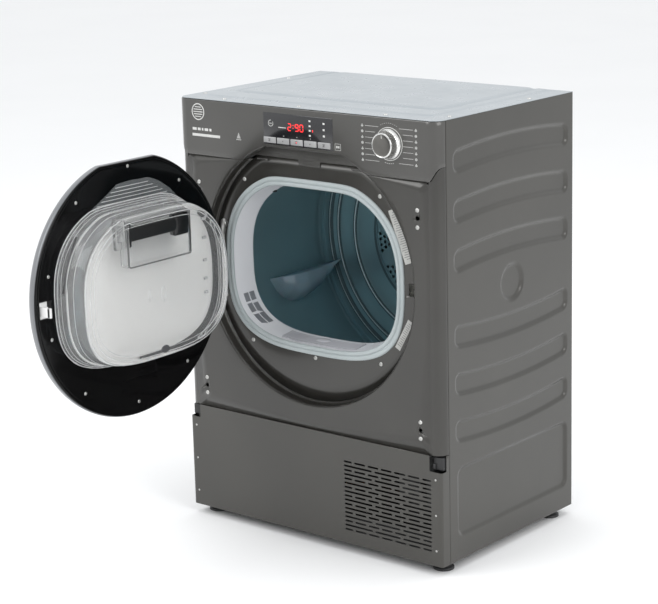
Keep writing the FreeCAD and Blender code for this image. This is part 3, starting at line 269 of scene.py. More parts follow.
zinc_sheet = rolled_sheet_finish("zinc_sheet", (0.42, 0.44, 0.45), (1, 1, 0.04))
duct_grey = finish("duct_grey", (0.17, 0.175, 0.18), gloss=0.5, grain=1100)
fin_foil = rolled_sheet_finish("fin_foil", (0.6, 0.62, 0.64), (0.05, 1, 1), gloss=0.25)
copper = finish("drawn_copper", (0.66, 0.3, 0.16), gloss=0.25, spread=0.3, cloud=40, grain=1800,
                Metallic=1.0)
black_enamel = finish("black_enamel", (0.012, 0.012, 0.013), gloss=0.32, spread=0.25, cloud=20,
                      Coat_Weight=0.4)
soft_rubber = finish("soft_rubber", (0.02, 0.02, 0.02), gloss=0.75, grain=600, relief=0.0001)
cast_alloy = finish("cast_alloy", (0.4, 0.41, 0.42), gloss=0.48, grain=800, relief=0.00012, Metallic=0.9)
board_green = finish("board_green", (0.02, 0.12, 0.05), gloss=0.35, cloud=180, grain=300, relief=0.0001)
pressed_felt = finish("pressed_felt", (0.3, 0.3, 0.3), gloss=0.95, cloud=120, grain=420, relief=0.0004)
moulded_blue = finish("fan_moulding", (0.1, 0.13, 0.16), gloss=0.45)
HIDDEN_PARTS = (
    (black_nylon, "base_tray filter_housing fan_housing"), (duct_grey, "exchanger_duct condensate_pump"),
    (fin_foil, "evaporator condenser"), (copper, "refrigerant_pipes"), (black_enamel, "compressor"),
    (soft_rubber, "compressor_mounts condensate_hose drive_belt drum_roller_left drum_roller_right"),
    (cast_alloy, "drive_motor rear_bearing"), (zinc_bright, "motor_rotor roller_axles drum_shaft door_latch"),
    (board_green, "control_board"), (pressed_felt, "drum_felt_seal"), (moulded_blue, "fan_impeller"))
for material, names in HIDDEN_PARTS:
    for name in names.split():
        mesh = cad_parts[name].data
        mesh.materials.clear()
        mesh.materials.append(material)


# ---- Front bulkhead: pale moulded collar that leads from the door seal to the drum, on a plate
# that closes the cabinet behind the front. The lint filter's slot goes through its lower side.
def mouth(inset, count=200):
    """Evenly spaced points (across, height) round the loading mouth's rounded square at an even inset."""
    half, middle, fine = 209 - inset, 519.5, []
    for k in range(1600):
        turn = 2 * math.pi * k / 1600
        power = 2.385 if math.sin(turn) >= 0 else 3.2
        reach = 172 - inset if math.sin(turn) >= 0 else 162.5 - inset
        across = half * math.copysign(abs(math.cos(turn)) ** (2 / power), math.cos(turn))
        rise = reach * math.copysign(abs(math.sin(turn)) ** (2 / power), math.sin(turn))
        cap = 162.5 - inset
        if rise > cap - 9:
            rise = cap - 9 + 9 * math.tanh((rise - cap + 9) / 9)
        fine.append((across, middle + rise))
    steps = [math.dist(fine[k], fine[(k + 1) % 1600]) for k in range(1600)]
    whole, points, walked, target = sum(steps), [], 0.0, 0.0
    for k in range(1600):
        while len(points) < count and walked + steps[k] > target:
            share = (target - walked) / steps[k]
            ahead = fine[(k + 1) % 1600]
            points.append((fine[k][0] + share * (ahead[0] - fine[k][0]),
                           fine[k][1] + share * (ahead[1] - fine[k][1])))
            target = whole * len(points) / count
        walked += steps[k]
    return points


def ring_rows(profile):
    """Rows round the mouth for (inset, y) pairs."""
    return [[(x, y, z) for x, z in mouth(inset)] for inset, y in profile]


def rounded_block(x, y, z, radius=1.0, segments=3):
    """Block with rounded edges, as a bmesh."""
    made = bmesh.new()
    bmesh.ops.create_cube(made, size=1.0)
    spans = [(low + high) / 2 for low, high in (x, y, z)], [high - low for low, high in (x, y, z)]
    for vertex in made.verts:
        vertex.co = Vector([spans[0][k] + vertex.co[k] * spans[1][k] for k in range(3)])
    bmesh.ops.bevel(made, geom=list(made.edges), offset=radius, segments=segments, profile=0.5,
                    affect="EDGES")
    return made


def carve(thing, *tools):
    """Cuts closed meshes out of a piece and leaves one plain mesh."""
    for tool in tools:
        step = thing.modifiers.new("carve", "BOOLEAN")
        step.operation = "DIFFERENCE"
        step.solver = "EXACT"
        step.object = tool
    bake_down(thing)
    for tool in tools:
        bpy.data.objects.remove(tool)
    return thing


def even_shading(thing):
    """Lets the large flat faces of a cut piece rule the shading at their edges."""
    even = thing.modifiers.new("even_shading", "WEIGHTED_NORMAL")
    even.mode = "FACE_AREA"
    even.weight = 100
    even.keep_sharp = True
    return bake_down(thing)


collar_white = finish("collar_moulding", (0.72, 0.725, 0.745), shade=(0.64, 0.645, 0.67), gloss=0.36, cloud=5,
                      grain=1300, relief=0.00003)
bulkhead = Skin()
COLLAR = [(13.2, -185.4), (13.4, -186), (14.4, -186.4), (15.4, -185.8), (15.9, -183), (18.2, -165),
          (20.6, -141), (21.4, -137.6), (21.2, -137.1)]
bulkhead.strip(ring_rows(COLLAR), closed=True)
bulkhead.strip(ring_rows([(21.2, -137.1), (19.2, -137.05), (18.6, -138.6), (18, -139), (13.2, -185.4)]),
               closed=True)
collar = mesh_object("front_collar", bulkhead, [collar_white])
slot_tool = Skin()
slot_tool.add(rounded_block((-84, 84), (-175, -149), (340, 395), 3))
carve(collar, mesh_object("slot_tool", slot_tool, []))
plate = Skin()
edge = [(286 * math.copysign(min(1, abs(math.cos(a)) * 1.4142), math.cos(a)), -139.0,
         514 + 282 * math.copysign(min(1, abs(math.sin(a)) * 1.4142), math.sin(a)))
        for a in (2 * math.pi * k / 200 for k in range(200))]
plate.strip([edge, [(x, -139.0, z) for x, z in mouth(18.4)], [(x, -137.0, z) for x, z in mouth(18.4)],
             [(x, -137.0, z) for x, y, z in edge], edge], closed=True)
backing = mesh_object("bulkhead_plate", plate, [zinc_sheet])
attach(backing, "cabinet")
settle(collar, "cabinet", ["front_bulkhead"])

# ---- Fine ribs moulded across the collar's lower ledge, in front of the filter's slot.
# Geometry Nodes repeats one rib along the ledge.
def repeated(name, seed_points, tree, material, **inputs):
    """Runs a Geometry Nodes tree over a set of points and returns one plain mesh object."""
    mesh = bpy.data.meshes.new(name)
    mesh.from_pydata([tuple(part * 0.001 for part in point) for point in seed_points], [], [])
    made = bpy.data.objects.new(name, mesh)
    bpy.context.scene.collection.objects.link(made)
    step = made.modifiers.new("repeat", "NODES")
    step.node_group = tree
    sockets = {part.name: part.identifier for part in tree.interface.items_tree if part.item_type == "SOCKET"
               and part.in_out == "INPUT"}
    step[sockets["Finish"]] = material
    for key, value in inputs.items():
        step[sockets[key.replace("_", " ")]] = value
    made.data.update()
    return bake_down(made)


def make_rib_row_tree():
    """A row of equal plain bars at every point: named sizes, no randomness."""
    tree = bpy.data.node_groups.new("rib_row", "GeometryNodeTree")
    socket_list(tree, "INPUT", (("Geometry", "Geometry", None), ("Count", "Int", 10),
                                ("Pitch", "Vector", (0.01, 0, 0)), ("Size", "Vector", (0.001, 0.01, 0.001)),
                                ("Turn", "Vector", (0, 0, 0)), ("Finish", "Material", None)))
    socket_list(tree, "OUTPUT", (("Geometry", "Geometry", None),))
    given = node(tree, "NodeGroupInput")
    row = node(tree, "GeometryNodeMeshLine", {"Count": given.outputs["Count"],
                                              "Offset": given.outputs["Pitch"]},
               mode="OFFSET")
    bar = node(tree, "GeometryNodeMeshCube", {"Size": given.outputs["Size"], "Vertices X": 2, "Vertices Y": 2,
                                              "Vertices Z": 2})
    bars = node(tree, "GeometryNodeInstanceOnPoints", {"Points": row.outputs["Mesh"],
                                                       "Instance": bar.outputs["Mesh"],
                                                       "Rotation": given.outputs["Turn"]})
    rows = node(tree, "GeometryNodeInstanceOnPoints", {"Points": given.outputs["Geometry"],
                                                       "Instance": bars.outputs["Instances"]})
    real = node(tree, "GeometryNodeRealizeInstances", {"Geometry": rows.outputs["Instances"]})
    done = node(tree, "GeometryNodeSetMaterial", {"Geometry": real.outputs["Geometry"],
                                                  "Material": given.outputs["Finish"]})
    node(tree, "NodeGroupOutput", {"Geometry": done.outputs["Geometry"]})
    return tree


RIB_ROW = make_rib_row_tree()
ledge_ribs = repeated("collar_ledge_ribs", [(-118, -181, 372.7)], RIB_ROW, collar_white, Count=60,
                      Pitch=(0.004, 0, 0), Size=(0.0011, 0.007, 0.0016), Turn=(0.12, 0, 0))
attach(ledge_ribs, "cabinet")

# ---- Bright moisture-sensing pads, three rows of two set into each lower corner of the collar, and the
# small lamp behind its upper left edge that lights the drum.
sensor_metal = finish("sensor_metal", (0.3, 0.31, 0.33), gloss=0.4, cloud=50, Metallic=0.4)
sensors = Skin()


def collar_wall(side, y, z, proud):
    """Point on the collar's inner wall, moved into the mouth by a little."""
    outline = mouth(15.9 + 5.5 * (y + 183) / 46 + proud)
    x, height = min((spot for spot in outline if spot[0] * side > 0), key=lambda spot: abs(spot[1] - z))
    return (x, y, height)


for side in (-1, 1):
    for z in (393, 411, 429):
        for y in (-173, -159):
            ys, zs = (y, y + 0.6, y + 11.4, y + 12), (z, z + 0.6, z + 8, z + 15.4, z + 16)
            rows = [[collar_wall(side, py, pz, -1 if py in (ys[0], ys[-1]) or pz in (zs[0], zs[-1]) else 0.7)
                     for pz in zs] for py in ys]
            sensors.strip(rows)
sensor_pads = mesh_object("moisture_sensor_pads", sensors, [sensor_metal])
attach(sensor_pads, "cabinet")
lamp_lens = finish("lamp_lens", (0.55, 0.56, 0.58), gloss=0.15, cloud=90, Coat_Weight=0.5)
lamp_skin = Skin()
lamp_skin.add(rounded_block((-134, -125), (-141, -134.6), (638.5, 649), 1.4))
lamp_skin.strip(turned([(0.01, -132.2), (2.2, -132.4), (3.2, -133.4), (3.5, -134.6), (0.01, -134.8)], 24,
                       lambda a, r, y: (-129.5 + r * math.cos(a), y, 643.5 + r * math.sin(a))), closed=True,
                finish_number=1)
settle(mesh_object("drum_lamp_housing", lamp_skin, [black_nylon, lamp_lens]), "cabinet", ["drum_lamp"])

# ---- Lint filter: pale cap that continues the collar's floor, with a finger bump, over a frame of
# fine mesh. It drops into the slot and lifts straight out.
filter_white = finish("filter_moulding", (0.5, 0.5, 0.53), gloss=0.38, grain=1200)
filter_mesh = finish("filter_mesh", (0.25, 0.26, 0.28), gloss=0.6, cloud=300, grain=900, relief=0.0003)
lint = Skin()


def collar_floor(x, y):
    """Height of the collar's floor at a place across and along."""
    inset_here = 15 + 6 * (y + 185.5) / 48.5
    half = 209 - inset_here
    return 519.5 - (162.5 - inset_here) * max(0.0, 1 - abs(x / half) ** 3.2) ** (1 / 3.2)


def bump_rise(x, y):
    away = math.hypot((x + 3) / 15.0, (y + 157) / 8.0)
    return 3.2 * max(0.0, 1 - away * away) ** 0.5 if away < 1 else 0.0


def groove(x, y):
    """Shallow moulded panel line round the cap."""
    rim = min(86.5 - abs(x), y + 176.5, -148.5 - y)
    return 0.45 * math.exp(-((rim - 3.4) / 0.7) ** 2)


cap_x = [-87.6 + 175.2 * k / 120 for k in range(121)]
cap_y = [-177.8 + 30.6 * k / 26 for k in range(27)]
CAP_RISE = 2.2
top_rows = [[(x, y, collar_floor(x, y) + CAP_RISE + 0.9 * bump_rise(x, y) - groove(x, y)) for x in cap_x]
            for y in cap_y]
low_rows = [[(x, y, collar_floor(x, y) + 0.5) for x in cap_x] for y in cap_y]
lint.strip(top_rows)
lint.strip(low_rows)
for edge_top, edge_low in ((top_rows[0], low_rows[0]), (top_rows[-1], low_rows[-1]),
                           ([row[0] for row in top_rows], [row[0] for row in low_rows]),
                           ([row[-1] for row in top_rows], [row[-1] for row in low_rows])):
    lint.strip([edge_top, edge_low])
for x in (-80, -52, -2, 48, 76):
    lint.add(rounded_block((x, x + 4), (-172, -152), (243.2, 373), 0.8))
for z in (243.2, 300, 366):
    lint.add(rounded_block((-80, 80), (-172, -152), (z, z + 5), 0.8))
lint.add(rounded_block((-77, 77), (-168.8, -168), (247, 368), 0.2), finish_number=1)
settle(mesh_object("lint_filter_cap", lint, [filter_white, filter_mesh]), "filter", ["lint_filter"])

# ---- Door seal: one ring of soft pale rubber pressed over the collar's lip, with a bead towards
# the mouth and a softer skirt outside a narrow parting groove.
gasket_grey = finish("seal_rubber", (0.41, 0.45, 0.455), shade=(0.35, 0.39, 0.395), gloss=0.5, cloud=6,
                     grain=900, relief=0.00004)
SEAL = [(0.2, -187.1), (0.4, -188.2), (1.2, -189.2), (2.6, -189.8), (4.4, -190.1), (6.4, -189.9),
        (7.9, -189.2), (8.5, -188.3), (8.8, -188.1), (9.1, -188.4), (9.6, -189.4), (10.8, -190.2),
        (12.4, -190.6), (14.2, -190.4), (15.6, -189.6), (16.4, -188.2), (16.5, -186.6), (16.2, -185.2),
        (15.2, -184.9), (13.6, -186), (13.2, -187.1), (6, -187.05), (0.2, -187.1)]
seal = Skin()
seal.strip(ring_rows(SEAL), closed=True)
settle(mesh_object("door_seal", seal, [gasket_grey], crease=60), "cabinet", ["door_gasket"])


# ---- Drum: zinc-coated sheet rolled into a cylinder with shallow pressed hoops, a pressed back
# plate with raised rings and twelve clusters of air holes, and three moulded lifters.
DRUM_Z = 505.0
drum_teal = finish("drum_zinc", (0.34, 0.5, 0.535), shade=(0.28, 0.43, 0.475), gloss=0.36, spread=0.16,
                   cloud=3, grain=700, relief=0.00003, Metallic=0.55)


def hoop(y):
    """Inward rise of the drum wall: two shallow pressed hoops and the fold that holds the back plate."""
    return sum(tall * math.exp(-((y - middle) / wide) ** 2) for middle, tall, wide in
               ((-112, 0.8, 4), (-104, 0.8, 4), (170, 2.2, 3.5)))


wall_rows = [(272.2, -131), (272.0, -130), (279, -129.6), (279.8, -128.6)]
wall_rows += [(280 - hoop(-128 + 1.6 * k), -128 + 1.6 * k) for k in range(195)]
wall_rows += [(281.2, 183), (281.2, -129), (280.4, -130.8), (272.2, -131)]
drum_skin = Skin()
drum_skin.strip(turned(wall_rows, 256, lambda a, r, y: (r * math.cos(a), y, DRUM_Z + r * math.sin(a))),
                closed=True)
settle(mesh_object("drum_wall", drum_skin, [drum_teal]), "drum", ["drum_shell"])

PLATE_FACE = [(0.01, 181.6), (30, 181.6), (34, 181.9), (96, 181.9), (101, 181.2), (105, 177.6), (108, 177),
              (135, 177), (138, 177.4), (141, 179.6), (144, 180.4), (150, 181), (165, 182), (190, 182),
              (193, 181), (195, 177), (196.5, 176.4), (198, 177), (200.5, 180.6), (204, 181.6), (232, 182),
              (235.6, 181), (237.6, 177), (239, 176.4), (240.6, 177), (243, 180.6), (246, 181.4),
              (255, 181.6), (257.8, 180.6), (259.8, 177), (261, 176.5), (262.4, 177), (264.8, 180.4),
              (268, 181.4), (279.4, 181.4)]
plate_rows = PLATE_FACE + [(radius, along + 1.1) for radius, along in reversed(PLATE_FACE)]
back_skin = Skin()
back_skin.strip(turned(plate_rows, 240, lambda a, r, y: (r * math.cos(a), y, DRUM_Z + r * math.sin(a))),
                closed=True)
back_plate = mesh_object("drum_back", back_skin, [drum_teal], crease=30)


def make_air_hole_tree():
    """Punches a round hole at every given spot through the mesh it is given."""
    tree = bpy.data.node_groups.new("air_holes", "GeometryNodeTree")
    socket_list(tree, "INPUT", (("Geometry", "Geometry", None), ("Hole", "Float", 0.0034),
                                ("Spots", "Object", None), ("Finish", "Material", None)))
    socket_list(tree, "OUTPUT", (("Geometry", "Geometry", None),))
    given = node(tree, "NodeGroupInput")
    pins = node(tree, "GeometryNodeMeshCylinder", {"Vertices": 18, "Radius": given.outputs["Hole"],
                                                   "Depth": 0.02})
    spots = node(tree, "GeometryNodeObjectInfo", {"Object": given.outputs["Spots"]})
    placed = node(tree, "GeometryNodeInstanceOnPoints", {"Points": spots.outputs["Geometry"],
                                                         "Instance": pins.outputs["Mesh"],
                                                         "Rotation": (math.pi / 2, 0, 0)})
    real = node(tree, "GeometryNodeRealizeInstances", {"Geometry": placed.outputs["Instances"]})
    punch = node(tree, "GeometryNodeMeshBoolean", {"Mesh 1": given.outputs["Geometry"]},
                 operation="DIFFERENCE")
    tree.links.new(real.outputs["Geometry"], punch.inputs["Mesh 2"])
    done = node(tree, "GeometryNodeSetMaterial", {"Geometry": punch.outputs["Mesh"],
                                                  "Material": given.outputs["Finish"]})
    node(tree, "NodeGroupOutput", {"Geometry": done.outputs["Geometry"]})
    return tree


FIRST_CLUSTER = 8.0
CLUSTER = ((131, -7.5), (131, -2.5), (131, 2.5), (131, 7.5), (120, -5), (120, 0), (120, 5), (111, -2.7),
           (111, 2.7))
hole_spots = [(radius * 0.001 * math.cos(math.radians(turn + FIRST_CLUSTER + 30 * k)), 0.1795,
               0.001 * (DRUM_Z + radius * math.sin(math.radians(turn + FIRST_CLUSTER + 30 * k))))
              for k in range(12) for radius, turn in CLUSTER]
spot_mesh = bpy.data.meshes.new("hole_spots")
spot_mesh.from_pydata(hole_spots, [], [])
spot_object = bpy.data.objects.new("hole_spots", spot_mesh)
bpy.context.scene.collection.objects.link(spot_object)
punching = back_plate.modifiers.new("air_holes", "NODES")
punching.node_group = make_air_hole_tree()
sockets = {part.name: part.identifier for part in punching.node_group.interface.items_tree
           if part.item_type == "SOCKET" and part.in_out == "INPUT"}
punching[sockets["Spots"]] = spot_object
punching[sockets["Finish"]] = drum_teal
bake_down(back_plate)
bpy.data.objects.remove(spot_object)
# Painted light on the back plate: the ring crests take a lighter copy of the drum's finish as a painted
# highlight, and the face round them takes a dark copy as painted shade.
crest_painted_highlight = finish("drum_ring_painted_highlight", (0.62, 0.76, 0.79), shade=(0.52, 0.66, 0.7), gloss=0.3, cloud=8,
                    grain=700, relief=0.00003, Metallic=0.4)
ring_shadow = finish("drum_ring_painted_shade", (0.1, 0.16, 0.18), gloss=0.5, cloud=8, grain=700, relief=0.00003)
back_plate.data.materials.append(crest_painted_highlight)
back_plate.data.materials.append(ring_shadow)
# Faces near a crest get the painted highlight. The rest of the inner face outside the middle gets the painted
# shade.
for face in back_plate.data.polygons:
    away = math.hypot(face.center.x, face.center.z - DRUM_Z * 0.001) * 1000
    nearest = min((abs(away - crest) for crest in (140, 196.5, 239, 261)))
    if face.center.y < 0.18115 and away > 143:
        face.material_index = 1 if nearest < 2.2 else 2
settle(back_plate, "drum", ["drum_back_plate"])

lifter_blue = finish("lifter_moulding", (0.42, 0.56, 0.64), shade=(0.34, 0.47, 0.56), gloss=0.24,
                     spread=0.1, cloud=9, Subsurface_Weight=0.25, Subsurface_Scale=0.004, Coat_Weight=0.3)


LOWER_EDGE = ((0, -17), (0.05, 6), (0.12, 22), (0.22, 34), (0.34, 37), (0.5, 31), (0.64, 24), (0.7, 14),
              (0.82, 8), (0.88, -2), (1, -13))


def edge_value(table, share):
    """Straight-line reading of a small table."""
    for (x1, y1), (x2, y2) in zip(table, table[1:]):
        if share <= x2:
            return y1 + (y2 - y1) * (share - x1) / (x2 - x1)
    return table[-1][1]


def lifter_section(along, turn):
    """Cross-section of a lifter: a wing with a straight upper ridge and a stepped lower edge."""
    share = (along + 1) / 174.0
    low = edge_value(LOWER_EDGE, share)
    tall = edge_value(((0, 4), (0.05, 26), (0.14, 44), (0.3, 52), (1, 40)), share)
    row = []
    for k in range(49):
        part = k / 48
        if part < 0.16:
            rise = tall * math.sin(math.pi / 2 * part / 0.16) ** 0.5
        else:
            rise = tall * (1 - ((part - 0.16) / 0.84) ** 3.2) ** 0.62
        spread = -20 + (low + 20) * part
        radius = math.sqrt(279.4 ** 2 - spread ** 2) - rise
        row.append((radius * math.cos(turn) - spread * math.sin(turn), along,
                    DRUM_Z + radius * math.sin(turn) + spread * math.cos(turn)))
    return row


paddles = Skin()
for k in range(3):
    turn = math.radians(200 + 120 * k)
    rows = [lifter_section(-1 + 174 * step / 60, turn) for step in range(61)]
    paddles.strip(rows)
    paddles.lid(rows[0])
    paddles.lid(rows[-1])
    paddles.strip([[row[0] for row in rows], [row[-1] for row in rows]])
settle(mesh_object("drum_paddles", paddles, [lifter_blue], crease=70), "drum", ["drum_lifters"])


# ---- Rear wall: zinc-coated sheet with folded edges and stiffening beads, and the
# deep-drawn duct cover that brings the warm air up from the fan to the drum's back.
def smooth(low, high, value):
    share = min(1.0, max(0.0, (value - low) / (high - low)))
    return share * share * (3 - 2 * share)


def band(distance, soft=4.0):
    """1 inside a pressed shape and 0 outside, with a rounded shoulder between."""
    return 1 - smooth(-soft / 2, soft / 2, distance)


def grid(place, across, along):
    """Rows of points place(u, v) for two lists of positions."""
    return [[place(u, v) for u in across] for v in along]


def span(low, high, count):
    return [low + (high - low) * k / (count - 1) for k in range(count)]


def thicken(thing, wall):
    step = thing.modifiers.new("wall", "SOLIDIFY")
    step.thickness = wall * 0.001
    step.offset = -1
    return bake_down(thing)


def rear_bead(x, z):
    """Depth of the stiffening beads pressed into the rear wall."""
    depth = 0.0
    for middle in (-250, 250):
        depth = max(depth, band(max(abs(x - middle) - 6, abs(z - 330) - 240), 5))
    for height in (745, 770):
        depth = max(depth, band(max(abs(z - height) - 4, abs(x) - 190), 5))
    return 2.2 * depth


rear_sheet = Skin()
rear_rows = grid(lambda x, z: (x, 206.9 - rear_bead(x, z), z), span(-297.6, 297.6, 200), span(19, 811, 220))
rear_sheet.strip(rear_rows)
for edge in ([row[0] for row in rear_rows], [row[-1] for row in rear_rows], rear_rows[0], rear_rows[-1]):
    rear_sheet.strip([edge, [(x * 0.9985, y - 3, z) for x, y, z in edge],
                      [(x * 0.998, y - 12, z) for x, y, z in edge]])
rear_wall = mesh_object("rear_wall", rear_sheet, [zinc_sheet], outward=(0, 1, 0))
settle(rear_wall, "cabinet", ["rear_panel"])

cover = Skin()


def cover_outline(inset, count=160):
    """Round bulge joined to its neck below, walked round at an even inset."""
    radius, points = 195 - inset, []
    for k in range(count):
        turn = math.pi / 2 + 2 * math.pi * k / count
        x, z = radius * math.cos(turn), 505 + radius * math.sin(turn)
        if z < 430 and -40 + inset < x < 160 - inset:
            z = 60 + inset
        points.append((x, z))
    return points


cover_rows = [[(x, y, z) for x, z in cover_outline(inset)] for inset, y in
              ((0, 207.2), (0, 208.4), (4, 209.4), (6, 212), (8, 240), (11, 247.5), (18, 251.4), (26, 251.8))]
cover.strip(cover_rows, closed=True)
cover.lid(cover_rows[-1])
rear_cover = mesh_object("rear_duct", cover, [zinc_sheet], outward=(0, 1, 0), crease=50)
settle(rear_cover, "cabinet", ["rear_duct_cover"])

inlet = Skin()
inlet.strip(turned([(4.3, 207.2), (14, 207.3), (14, 210.2), (13.2, 211), (9.4, 211.2), (9, 212), (9, 219.6),
                    (8.2, 220.9), (5, 221), (4.3, 220.2), (4.3, 207.2)], 40, facing_front(-240, 700)),
            closed=True)
settle(mesh_object("cable_grommet", inlet, [black_nylon]), "cabinet", ["cable_inlet"])

# ---- Side walls: painted steel with shallow swages pressed inwards so that they don't drum: three
# arched bands above, three sagging ones below, a round one between and a long low one.
def make_steel_paint(name, colour, shade, gloss):
    """Powder paint over sheet steel: fine orange peel and a little metal flake."""
    return finish(name, colour, shade=shade, gloss=gloss, spread=0.05, cloud=4, grain=1900, relief=0.00002,
                  Metallic=0.3, Coat_Weight=0.5, Coat_Roughness=0.12)


graphite = make_steel_paint("graphite_paint", (0.046, 0.0435, 0.0375), (0.04, 0.038, 0.033), 0.34)

SWAGES = [(747, 10), (660, 10), (573, 10), (420, -10), (334, -10), (248, -10)]


def swage_depth(y, z):
    """Depth of the pressed shapes in a side wall, in millimetres."""
    depth = 0.0
    share = (y - 12) / 173
    for middle, rise in SWAGES:
        away = math.hypot(max(0.0, abs(z - middle + rise * share * share) - 6),
                          max(0.0, abs(y - 12) - 162)) - 12
        depth = max(depth, band(away, 7))
    depth = max(depth, band(math.hypot(y - 10, z - 495) - 32, 9))
    away = math.hypot(max(0.0, abs(z - 126) - 48), max(0.0, abs(y - 14) - 158)) - 14
    depth = max(depth, band(away, 7))
    return 4.2 * depth


for side, label in ((-1, "left"), (1, "right")):
    wall = Skin()
    ys, zs = span(-184, 205.6, 176), span(18.6, 811.6, 340)
    rows = grid(lambda y, z: (side * (300 - swage_depth(y, z)), y, z), ys, zs)
    wall.strip(rows)
    seam_edge = [row[0] for row in rows]
    wall.strip([seam_edge, [(side * 299.7, -185.1, z) for x, y, z in seam_edge],
                [(side * 298.6, -185.4, z) for x, y, z in seam_edge],
                [(side * 292, -185.3, z) for x, y, z in seam_edge]])
    rear_edge = [row[-1] for row in rows]
    wall.strip([rear_edge, [(side * 299.6, 206.6, z) for x, y, z in rear_edge],
                [(side * 298.4, 207, z) for x, y, z in rear_edge],
                [(side * 288, 207, z) for x, y, z in rear_edge]])
    for edge, way in ((rows[0], 1), (rows[-1], -1)):
        wall.strip([edge, [(side * 299.7, y, z - way * 0.5) for x, y, z in edge],
                    [(side * 298.8, y, z - way * 0.6) for x, y, z in edge],
                    [(side * 290, y, z - way * 0.5) for x, y, z in edge]])
    settle(mesh_object("side_wall_" + label, wall, [graphite], crease=50, outward=(side, 0, 0)), "cabinet",
           ["side_panel_" + label])

# ---- Front wall: the same painted steel, wrapped round both upright corners. A round recess is
# drawn into it for the door, with rounded shoulders, and the loading mouth is cut through its floor.
# Painted shade: the front's paint is a darker copy of the side walls' graphite paint. It is darkened for the
# shade on the front, not a paint of its own.
front_paint_painted_shade = make_steel_paint("front_paint_painted_shade", (0.038, 0.036, 0.0315), (0.031, 0.0295, 0.026), 0.3)


def recess_arc(radius, count=220, top=708.0):
    """Points round the recess from its upper left, down and round to its upper right."""
    start = math.pi - math.asin((top - 511) / radius)
    stop = 2 * math.pi + math.asin((top - 511) / radius)
    return [(radius * math.cos(a), 511 + radius * math.sin(a)) for a in span(start, stop, count)]


def frame_path(count=220):
    """Points along the flat front's edge, matching the recess: top left, down, across, up, top right."""
    corners = [(-143, 708), (-279, 708), (-279, 222.6), (279, 222.6), (279, 708), (143, 708)]
    arc = recess_arc(243, count)
    points = []
    for x, z in arc:
        turn = math.atan2(z - 511, x)
        scale = min(279 / max(1e-6, abs(math.cos(turn))),
                    (197 if math.sin(turn) > 0 else 288.4) / max(1e-6, abs(math.sin(turn))))
        points.append((scale * math.cos(turn), 511 + scale * math.sin(turn)))
    points[0], points[-1] = corners[0], corners[-1]
    return points


front = Skin()
outer_path = frame_path()


def between(path, other, share):
    return [(a[0] + (b[0] - a[0]) * share, a[1] + (b[1] - a[1]) * share) for a, b in zip(path, other)]


shoulder = recess_arc(246.5)
flat_rows = [[(x, -207, z) for x, z in between(outer_path, shoulder, share)]
             for share in (0, 0.3, 0.6, 0.85, 1)]
for radius, y in ((245.2, -206.8), (244, -206.1), (243.2, -204.9), (243, -203.4), (242.8, -191),
                  (242, -188.9), (240.6, -187.6), (238.6, -187.05)):
    flat_rows.append([(x, y, z) for x, z in recess_arc(radius)])
front.strip(flat_rows)


def dee(radius, top, count=200):
    """Evenly turned points of a circle cut off by a level line, from the right and anticlockwise."""
    points = []
    for k in range(count):
        turn = 2 * math.pi * k / count
        reach = radius
        if math.sin(turn) > 0:
            reach = min(radius, top / math.sin(turn))
        points.append((reach * math.cos(turn), reach * math.sin(turn)))
    return points


def mouth_by_angle(inset, centre, count=200):
    """The mouth's outline at even turns about a centre height, to match a round neighbour."""
    outline = [(math.atan2(z - centre, x) % (2 * math.pi), math.hypot(x, z - centre))
               for x, z in mouth(inset, 900)]
    outline.sort()
    points = []
    for k in range(count):
        turn = 2 * math.pi * k / count
        after = next((row for row in outline if row[0] >= turn), outline[0])
        points.append((after[1] * math.cos(turn), centre + after[1] * math.sin(turn)))
    return points


floor_edge = [(x, 511 + z) for x, z in dee(238.6, 205)]
hole_edge = mouth_by_angle(14, 511)
recess_floor = Skin()
floor_rows = [[(x, -187.05, z) for x, z in between(floor_edge, hole_edge, share)] for share in (0, 0.3, 0.7,
                                                                                                1)]
floor_rows.append([(x, -186, z) for x, z in mouth_by_angle(15, 511)])
recess_floor.strip(floor_rows, closed=True)
corners = Skin()
WRAP = [(279, -207), (284, -206.4), (289, -204.4), (293.4, -201), (296.8, -196.8), (299, -191.6),
        (299.9, -187.4), (299.6, -186), (297, -185.8)]
for side in (-1, 1):
    rows = []
    for k in range(40):
        share = k / 39
        row = []
        for x, y in WRAP:
            top = 707.6 + 25 * smooth(281, 299.5, x)
            row.append((side * x, y, 222.6 + (top - 222.6) * share))
        rows.append(row)
    corners.strip(rows)
    corners.strip([rows[-1], [(x * 0.994, y + 3, z) for x, y, z in rows[-1]]])
    corners.strip([rows[0], [(x * 0.994, y + 3, z) for x, y, z in rows[0]]])
for edge_x, z, rolled_z, back_y in ((span(-279, -143, 8), 708, 708.2, -196),
                                    (span(143, 279, 8), 708, 708.2, -196),
                                    (span(-279, 279, 30), 222.6, 222.2, -190)):
    corners.strip([[(x, -207, z) for x in edge_x], [(x, -206, rolled_z) for x in edge_x],
                   [(x, back_y, rolled_z) for x in edge_x]])


def joined(name, *things):
    """Puts several finished meshes into one object."""
    work = bmesh.new()
    for thing in things:
        work.from_mesh(thing.data)
    mesh = bpy.data.meshes.new(name)
    for material in things[0].data.materials:
        mesh.materials.append(material)
    work.to_mesh(mesh)
    work.free()
    for thing in things:
        bpy.data.objects.remove(thing)
    made = bpy.data.objects.new(name, mesh)
    bpy.context.scene.collection.objects.link(made)
    return made


